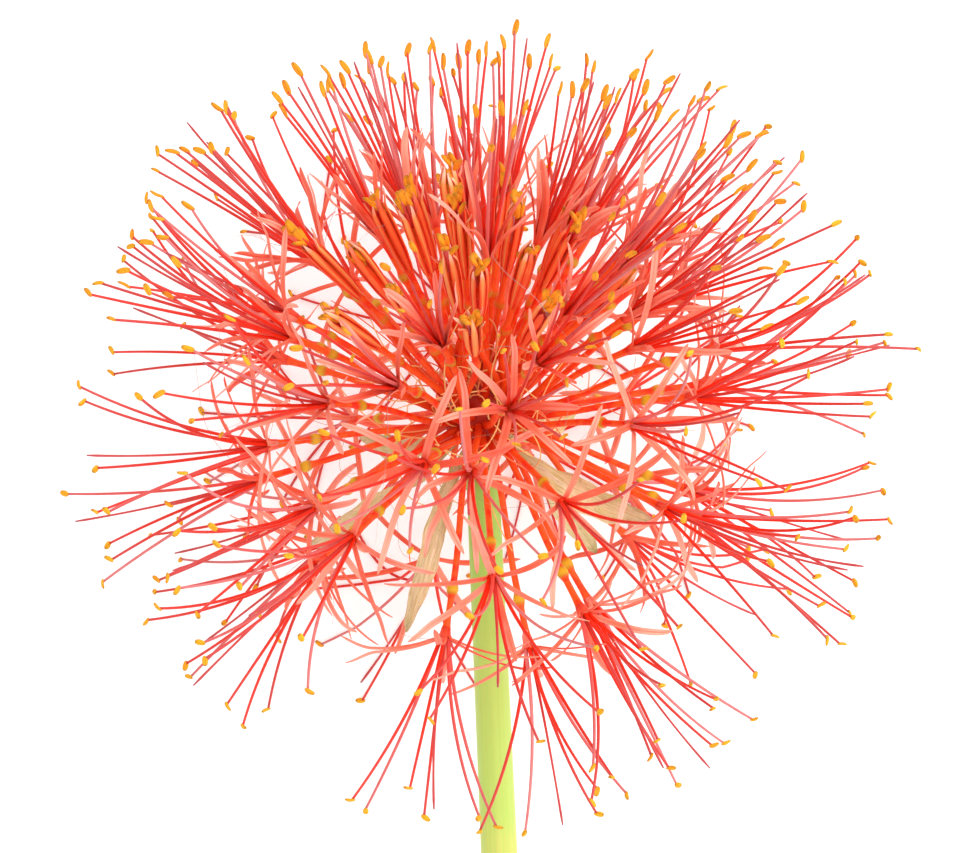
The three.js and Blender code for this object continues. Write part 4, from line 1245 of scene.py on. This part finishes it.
class FLOWER_OT_florets(bpy.types.Operator):
    """Builds the open florets: stalk, ovary, tube, petals, stamens and style"""

    bl_idname = "flower.florets"
    bl_label = "Florets"

    def petals(self, skin, floret, settings):
        """Ribbons that start inside the tube, stay nearly even in width, and narrow to a fine tip that
        curls. They turn level where they lie on the table."""
        each, (points, side) = (floret.i, WHORL), floret.petals
        path, share = grown(floret, points, *PETAL_FOOT), np.linspace(0, 1, ORGAN_RINGS)
        across, front = frames(path, side)
        heading = np.cross(across, front)
        lying = smooth(-path[..., 2], -6, -LYING_BELOW)
        free = 1 - lying
        level = unit(np.cross([0, 0, 1], heading))
        level = level * np.where(dot(level, across) < 0, -1, 1)
        across, _ = turned(across, front, spread(0.9, *each, 41)[:, None] * share**1.5 * free)
        across = unit(mix(across, level, column(lying) * 0.9))
        front = np.cross(heading, across)
        curl = (spread(2.6, *each, 42) + 0.8)[:, None] * smooth(share, 0.72, 1.05) * free
        swing = np.sin(4.5 * share + 6 * draw(*each, 48)[:, None])
        wave = spread(0.9, *each, 50)[:, None] * swing * share * free
        path = path + front * column(curl) + across * column(wave)
        wide = settings.petal_width / MM * mix(1.02, 0.92, floret.age)
        width = wide * (1 + spread(0.12, *each, 49))[:, None] * np.interp(share, *PETAL_OUTLINE)
        thickness = settings.petal_thickness / MM * np.interp(share, *PETAL_THICKNESS)
        skin.ribbons(path, across, front, width, thickness, 0.26, draw(*each, 43), PETAL)

    def stamens(self, skin, floret, radius):
        """Threads that thin evenly from the throat to the anther they carry."""
        each, (points, side, anther) = (floret.i, WHORL), floret.stamens
        radius = radius * np.interp(np.linspace(0, 1, ORGAN_RINGS), *FILAMENT_TAPER)
        skin.tubes(grown(floret, points, *STAMEN_FOOT), side, radius, draw(*each, 44), FILAMENT)
        size = mix(YOUNG_ANTHER, OPEN_ANTHER, floret.age)
        tone = draw(*each, 45) * 0.5 + mix(0.5, 0, floret.age)
        skin.anthers(points[:, -1], anther, side, size, tone)

    def style(self, skin, floret, radius):
        """A thread that widens a little at its end."""
        points, side = floret.style
        radius = radius * np.interp(np.linspace(0, 1, ORGAN_RINGS), *STYLE_TAPER)
        skin.tubes(grown(floret, points, *STYLE_FOOT), side, radius, draw(floret.i, [46]), STYLE)

    def piece(self, florets, name, node, settings, materials):
        """Gathers the florets into one piece."""
        skin = Skin()
        for floret in florets:
            skin.trunk(floret, TUBE_LENGTH, FLORET_MOUTH, ripe=mix(0.65, 1, floret.age))
            self.petals(skin, floret, settings)
            self.stamens(skin, floret, settings.filament_radius / MM)
            self.style(skin, floret, settings.filament_radius / MM)
        skin.piece(name, node, "floret", materials)

    def execute(self, context):
        """One piece for each solid. The filling florets, which no solids stand for, are gathered a few to a
        piece."""
        settings, plan = context.scene.flower.florets, flower_plan()
        materials = floret_materials(settings)
        for index, floret in enumerate(plan.florets):
            node = f"floret_{index + 1:02d}"
            self.piece([floret], f"open_{node}", node, settings, materials)
        for index in range(FILLING_PIECES):
            lot = plan.filling[index::FILLING_PIECES]
            self.piece(lot, f"filling_florets_{index + 1:02d}", None, settings, materials)
        return FINISHED


class FLOWER_OT_buds(bpy.types.Operator):
    """Builds the sprays of closed buds at the head's top"""

    bl_idname = "flower.buds"
    bl_label = "Buds"

    def is_shut(self, i):
        return draw(i, 66) < SHUT_BUDS

    def body(self, skin, bud, width):
        """Six ribbons round a red core: radius R(s) off the bud's axis, nearly even, whose tips part and
        curl in or out, or close over the anthers."""
        each, share = (bud.i, WHORL), np.linspace(-0.06, 1, BUD_RINGS)
        start = bud.line[2] + bud.towards * (2 * OVARY_HALF_LENGTH + BUD_TUBE)
        swell = np.interp(share, *BUD_SWELL) * BUD_RADIUS
        out = bud.radial(WHORL, spread(9 * DEG, *each, 51))
        part = (-1.0 + spread(0.4, *each, 52)) if self.is_shut(bud.i) else (0.5 + spread(2.1, *each, 52))
        part = part[:, None] * smooth(share, 0.76, 1.02)
        reach = share * BUD_LENGTH * (1 - column(draw(*each, 53)) * 0.16 * smooth(share, 0.5, 1))
        path = start + column(reach) * bud.towards + column(swell - 0.4 + part) * out[:, None]
        side = np.cross(bud.towards, out)
        sway = spread(0.8, *each, 62)[:, None] * smooth(share, 0.5, 1)
        across, front = frames(path + side[:, None] * column(sway), side)
        across, front = turned(across, front, spread(0.5, *each, 54)[:, None] * share)
        wide, thick = width * np.interp(share, *BUD_OUTLINE), np.interp(share, *BUD_THICKNESS)
        skin.ribbons(path, across, front, wide, thick, -0.3, draw(*each, 55), BUD_PETAL)
        low = share[:-5]
        core = (start + column(low * BUD_LENGTH) * bud.towards)[None]
        radius = swell[:-5] * smooth(low, 0.8, 0.3) * 0.7
        skin.tubes(core, bud.radial(0)[None], radius, draw(bud.i, [56]), STALK, CORE_SIDES)

    def anthers(self, skin, bud):
        """Anthers on stout threads that show between the petals, and over the tips where these part."""
        each, ahead = (bud.i, WHORL), bud.towards
        shown = BUD_TUBE + BUD_LENGTH * (0.7 if self.is_shut(bud.i) else 0.81 + 0.16 * draw(bud.i, 63))
        start = bud.line[2] + ahead * (2 * OVARY_HALF_LENGTH + shown)
        out = bud.radial(WHORL, spread(0.5, *each, 58))
        tips = start + out * column(0.9 + spread(0.5, *each, 64)) + ahead * column(spread(2.2, *each, 59))
        ways = unit(ahead + out * column(0.3 + spread(0.8, *each, 60)))
        side = np.cross(ahead, out)
        skin.anthers(tips, ways, side, BUD_ANTHER, 0.5 + 0.5 * draw(*each, 61))
        stalks = places(np.stack([tips - ahead * 8 - out * 0.3, tips - ahead * 3, tips], 1), BUD_STALK_RINGS)
        skin.tubes(stalks, side, np.full(BUD_STALK_RINGS, BUD_STALK_RADIUS), draw(*each, 65), FILAMENT)

    def execute(self, context):
        florets, settings = context.scene.flower.florets, context.scene.flower.buds
        flesh = bud_flesh(*colours(florets, "red"), *colours(settings, "salmon", "straw", "pale"))
        materials = [*floret_materials(florets), flesh]
        for index, buds in enumerate(flower_plan().sprays):
            skin, node = Skin(), f"bud_spray_{index + 1:02d}"
            for bud in buds:
                skin.trunk(bud, BUD_TUBE, BUD_MOUTH, ripe=0.5)
                self.body(skin, bud, settings.petal_width / MM)
                self.anthers(skin, bud)
            skin.piece(f"closed_{node}", node, "bud", materials)
        return FINISHED


class FLOWER_OT_threads(bpy.types.Operator):
    """Builds the hair-thin dry threads among the florets, and the curled bracteoles on the knob"""

    bl_idname = "flower.threads"
    bl_label = "Threads"

    def curled(self, start, towards, loose, most, length, key):
        """Each thread turns steadily: heading = cos(bend s) a + sin(bend s) b + a slow wave along c, with
        a, b, c square to each other and a near the way it starts in, summed step by step. Loose is how far
        a may lean from that way, and most is the greatest bend in radians, past the 0.2 that all have."""
        n = np.arange(len(start))
        drawn = [draw(n, key + shift)[:, None, None] for shift in range(7)]
        loosely, sideways = (spread(1, n[:, None], np.array([1, 2, 3]), k) for k in (key, key + 1))
        a = unit(towards + loose * loosely)
        b = squared(sideways, a)
        share = np.linspace(0, 1, CURL_RINGS)[None, :, None]
        bend = (0.2 + most * drawn[2]) * np.where(drawn[3] < 0.5, 1, -1)
        wave = np.sin((3 + 5 * drawn[4]) * share + 6 * drawn[5]) * 0.5
        heading = np.cos(bend * share) * a[:, None] + np.sin(bend * share) * b[:, None]
        heading = unit(heading + wave * np.cross(a, b)[:, None])
        path = np.cumsum(heading, axis=1) * (length * (0.75 + drawn[6])) / CURL_RINGS
        path = path - path[:, :1] + start[:, None]
        path[..., 2] = np.maximum(path[..., 2], THREAD_ABOVE_TABLE)
        return path, np.cross(a, b)

    def execute(self, context):
        """Threads start in the florets' throats, and stay within the head's reach. Bracteoles start on the
        knob's upper half."""
        settings, florets = context.scene.flower.threads, flower_plan().florets
        n = np.arange(settings.count)
        chosen = (draw(n, 71) * len(florets)).astype(int)
        throats = np.stack([floret.end for floret in florets])[chosen]
        towards = np.stack([floret.towards for floret in florets])[chosen]
        start = throats - towards * 0.5
        path, side = self.curled(start, towards * 0.7, loose=1.0, most=1.1, length=30, key=72)
        off = path - HEAD_CENTRE
        far = np.sqrt(dot(off, off))
        path = HEAD_CENTRE + off * np.minimum(1, (THREAD_REACH + 0.12 * far) / far)
        taper = np.linspace(1, 0.6, CURL_RINGS) / MM
        skin = Skin()
        skin.tubes(path, side, settings.radius * taper, draw(n, 79), 0, 4)
        n = np.arange(settings.curls)
        towards = floret_direction((10 + 100 * draw(n, 81)) * DEG, 2 * math.pi * draw(n, 82))
        start = HEAD_CENTRE + towards * KNOB_RADIUS * 0.96
        path, side = self.curled(start, towards, loose=0.4, most=3.0, length=23, key=83)
        skin.tubes(path, side, settings.curl_radius * taper, draw(n, 90), 1)
        threads = dry_thread("dry_thread", *colours(settings, "grey", "brown"))
        curls = dry_thread("dry_bracteole", *colours(settings, "straw", "coral"))
        skin.piece("dry_threads", None, "bract", [threads, curls])
        return FINISHED


class FLOWER_OT_stage(bpy.types.Operator):
    """Builds the table, the lights and the camera over the flower"""

    bl_idname = "flower.stage"
    bl_label = "Stage"

    def table(self, settings):
        """One level sheet under the flower."""
        mesh = bpy.data.meshes.new("table")
        corners = [(x * HALF_TABLE, y * HALF_TABLE, 0) for x, y in ((-1, -1), (1, -1), (1, 1), (-1, 1))]
        mesh.from_pydata(corners, [], [(0, 1, 2, 3)])
        mesh.materials.append(opal_acrylic(*colours(settings, "table"), settings.glow))
        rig.stage(placed("table", mesh))

    def light(self, name, place, size, power, target):
        """A soft round lamp that points at the target."""
        lamp = bpy.data.lights.new(name, "AREA")
        lamp.shape, lamp.size, lamp.energy = "DISK", size, power
        way = target - np.array(place)
        down, round_up = math.acos(-way[2] / np.linalg.norm(way)), math.atan2(-way[0], way[1])
        placed(name, lamp, place).rotation_euler = (down, 0, round_up)

    def room(self, sky):
        """A white room whose right side is the brighter."""
        world = bpy.data.worlds.new("white_room")
        world.use_nodes = True
        tree = world.node_tree
        way = add_node(tree, "ShaderNodeTexCoord").outputs["Generated"]
        across = add_node(tree, "ShaderNodeSeparateXYZ", {0: way}).outputs["X"]
        sides = {"Value": across, "From Min": -0.8, "From Max": 0.8, "To Min": 0.6 * sky, "To Max": 1.4 * sky}
        sides = add_node(tree, "ShaderNodeMapRange", sides).outputs[0]
        tree.links.new(sides, tree.nodes["Background"].inputs["Strength"])
        tree.nodes["Background"].inputs["Color"].default_value = WHITE
        return world

    def camera(self, head, distance):
        """It looks straight down, with the knob at its place in the picture."""
        camera = bpy.data.cameras.new("camera")
        camera.sensor_width, camera.clip_end = 36, 20
        camera.lens = camera.sensor_width * PIXELS_PER_MM * distance / MM / PICTURE_SIZE[0]
        across, up = ((size / 2 - knob) / PIXELS_PER_MM for size, knob in zip(PICTURE_SIZE, KNOB_IN_PICTURE))
        return placed("camera", camera, head + np.array([across * MM, -up * MM, distance]))

    def execute(self, context):
        scene, settings, head = context.scene, context.scene.flower.stage, HEAD_CENTRE * MM
        self.table(settings)
        self.light("key_light", (0.75, 0.55, 1.15), 0.9, settings.key, head)
        self.light("fill_light", (-0.8, -0.2, 0.9), 1.0, settings.key * 0.3, head)
        scene.world = self.room(settings.sky)
        scene.camera = self.camera(head, settings.distance)
        scene.view_settings.view_transform = "Standard"
        return FINISHED


class FLOWER_PT_panel(bpy.types.Panel):
    """Lists the flower's steps and their sizes and colours"""

    bl_idname = "FLOWER_PT_panel"
    bl_label = "Blood lily"
    bl_space_type = "VIEW_3D"
    bl_region_type = "UI"
    bl_category = "Flower"

    def draw(self, context):
        for name in STEPS:
            box = self.layout.box()
            box.operator(f"flower.{name}")
            settings = getattr(context.scene.flower, name)
            for key in settings.__annotations__:
                box.prop(settings, key)


STEPS = ["stem", "bracts", "florets", "buds", "threads", "stage"]
SETTINGS = [StemSettings, BractSettings, FloretSettings, BudSettings, ThreadSettings, StageSettings]
OPERATORS = [FLOWER_OT_stem, FLOWER_OT_bracts, FLOWER_OT_florets, FLOWER_OT_buds, FLOWER_OT_threads]
CLASSES = [*SETTINGS, FlowerSettings, *OPERATORS, FLOWER_OT_stage, FLOWER_PT_panel]


def register():
    for cls in CLASSES:
        bpy.utils.register_class(cls)
    bpy.types.Scene.flower = bpy.props.PointerProperty(type=FlowerSettings)


def unregister():
    del bpy.types.Scene.flower
    for cls in reversed(CLASSES):
        bpy.utils.unregister_class(cls)


def main():
    register()
    for name in STEPS:
        getattr(bpy.ops.flower, name)()
    plain = lambda box: [[float(number) for number in corner] for corner in box]
    with open("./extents.json", "w") as file:
        json.dump({"cad": plain(cad_box), "visual": plain(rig.bounds())}, file)


if __name__ == "__main__":
    main()
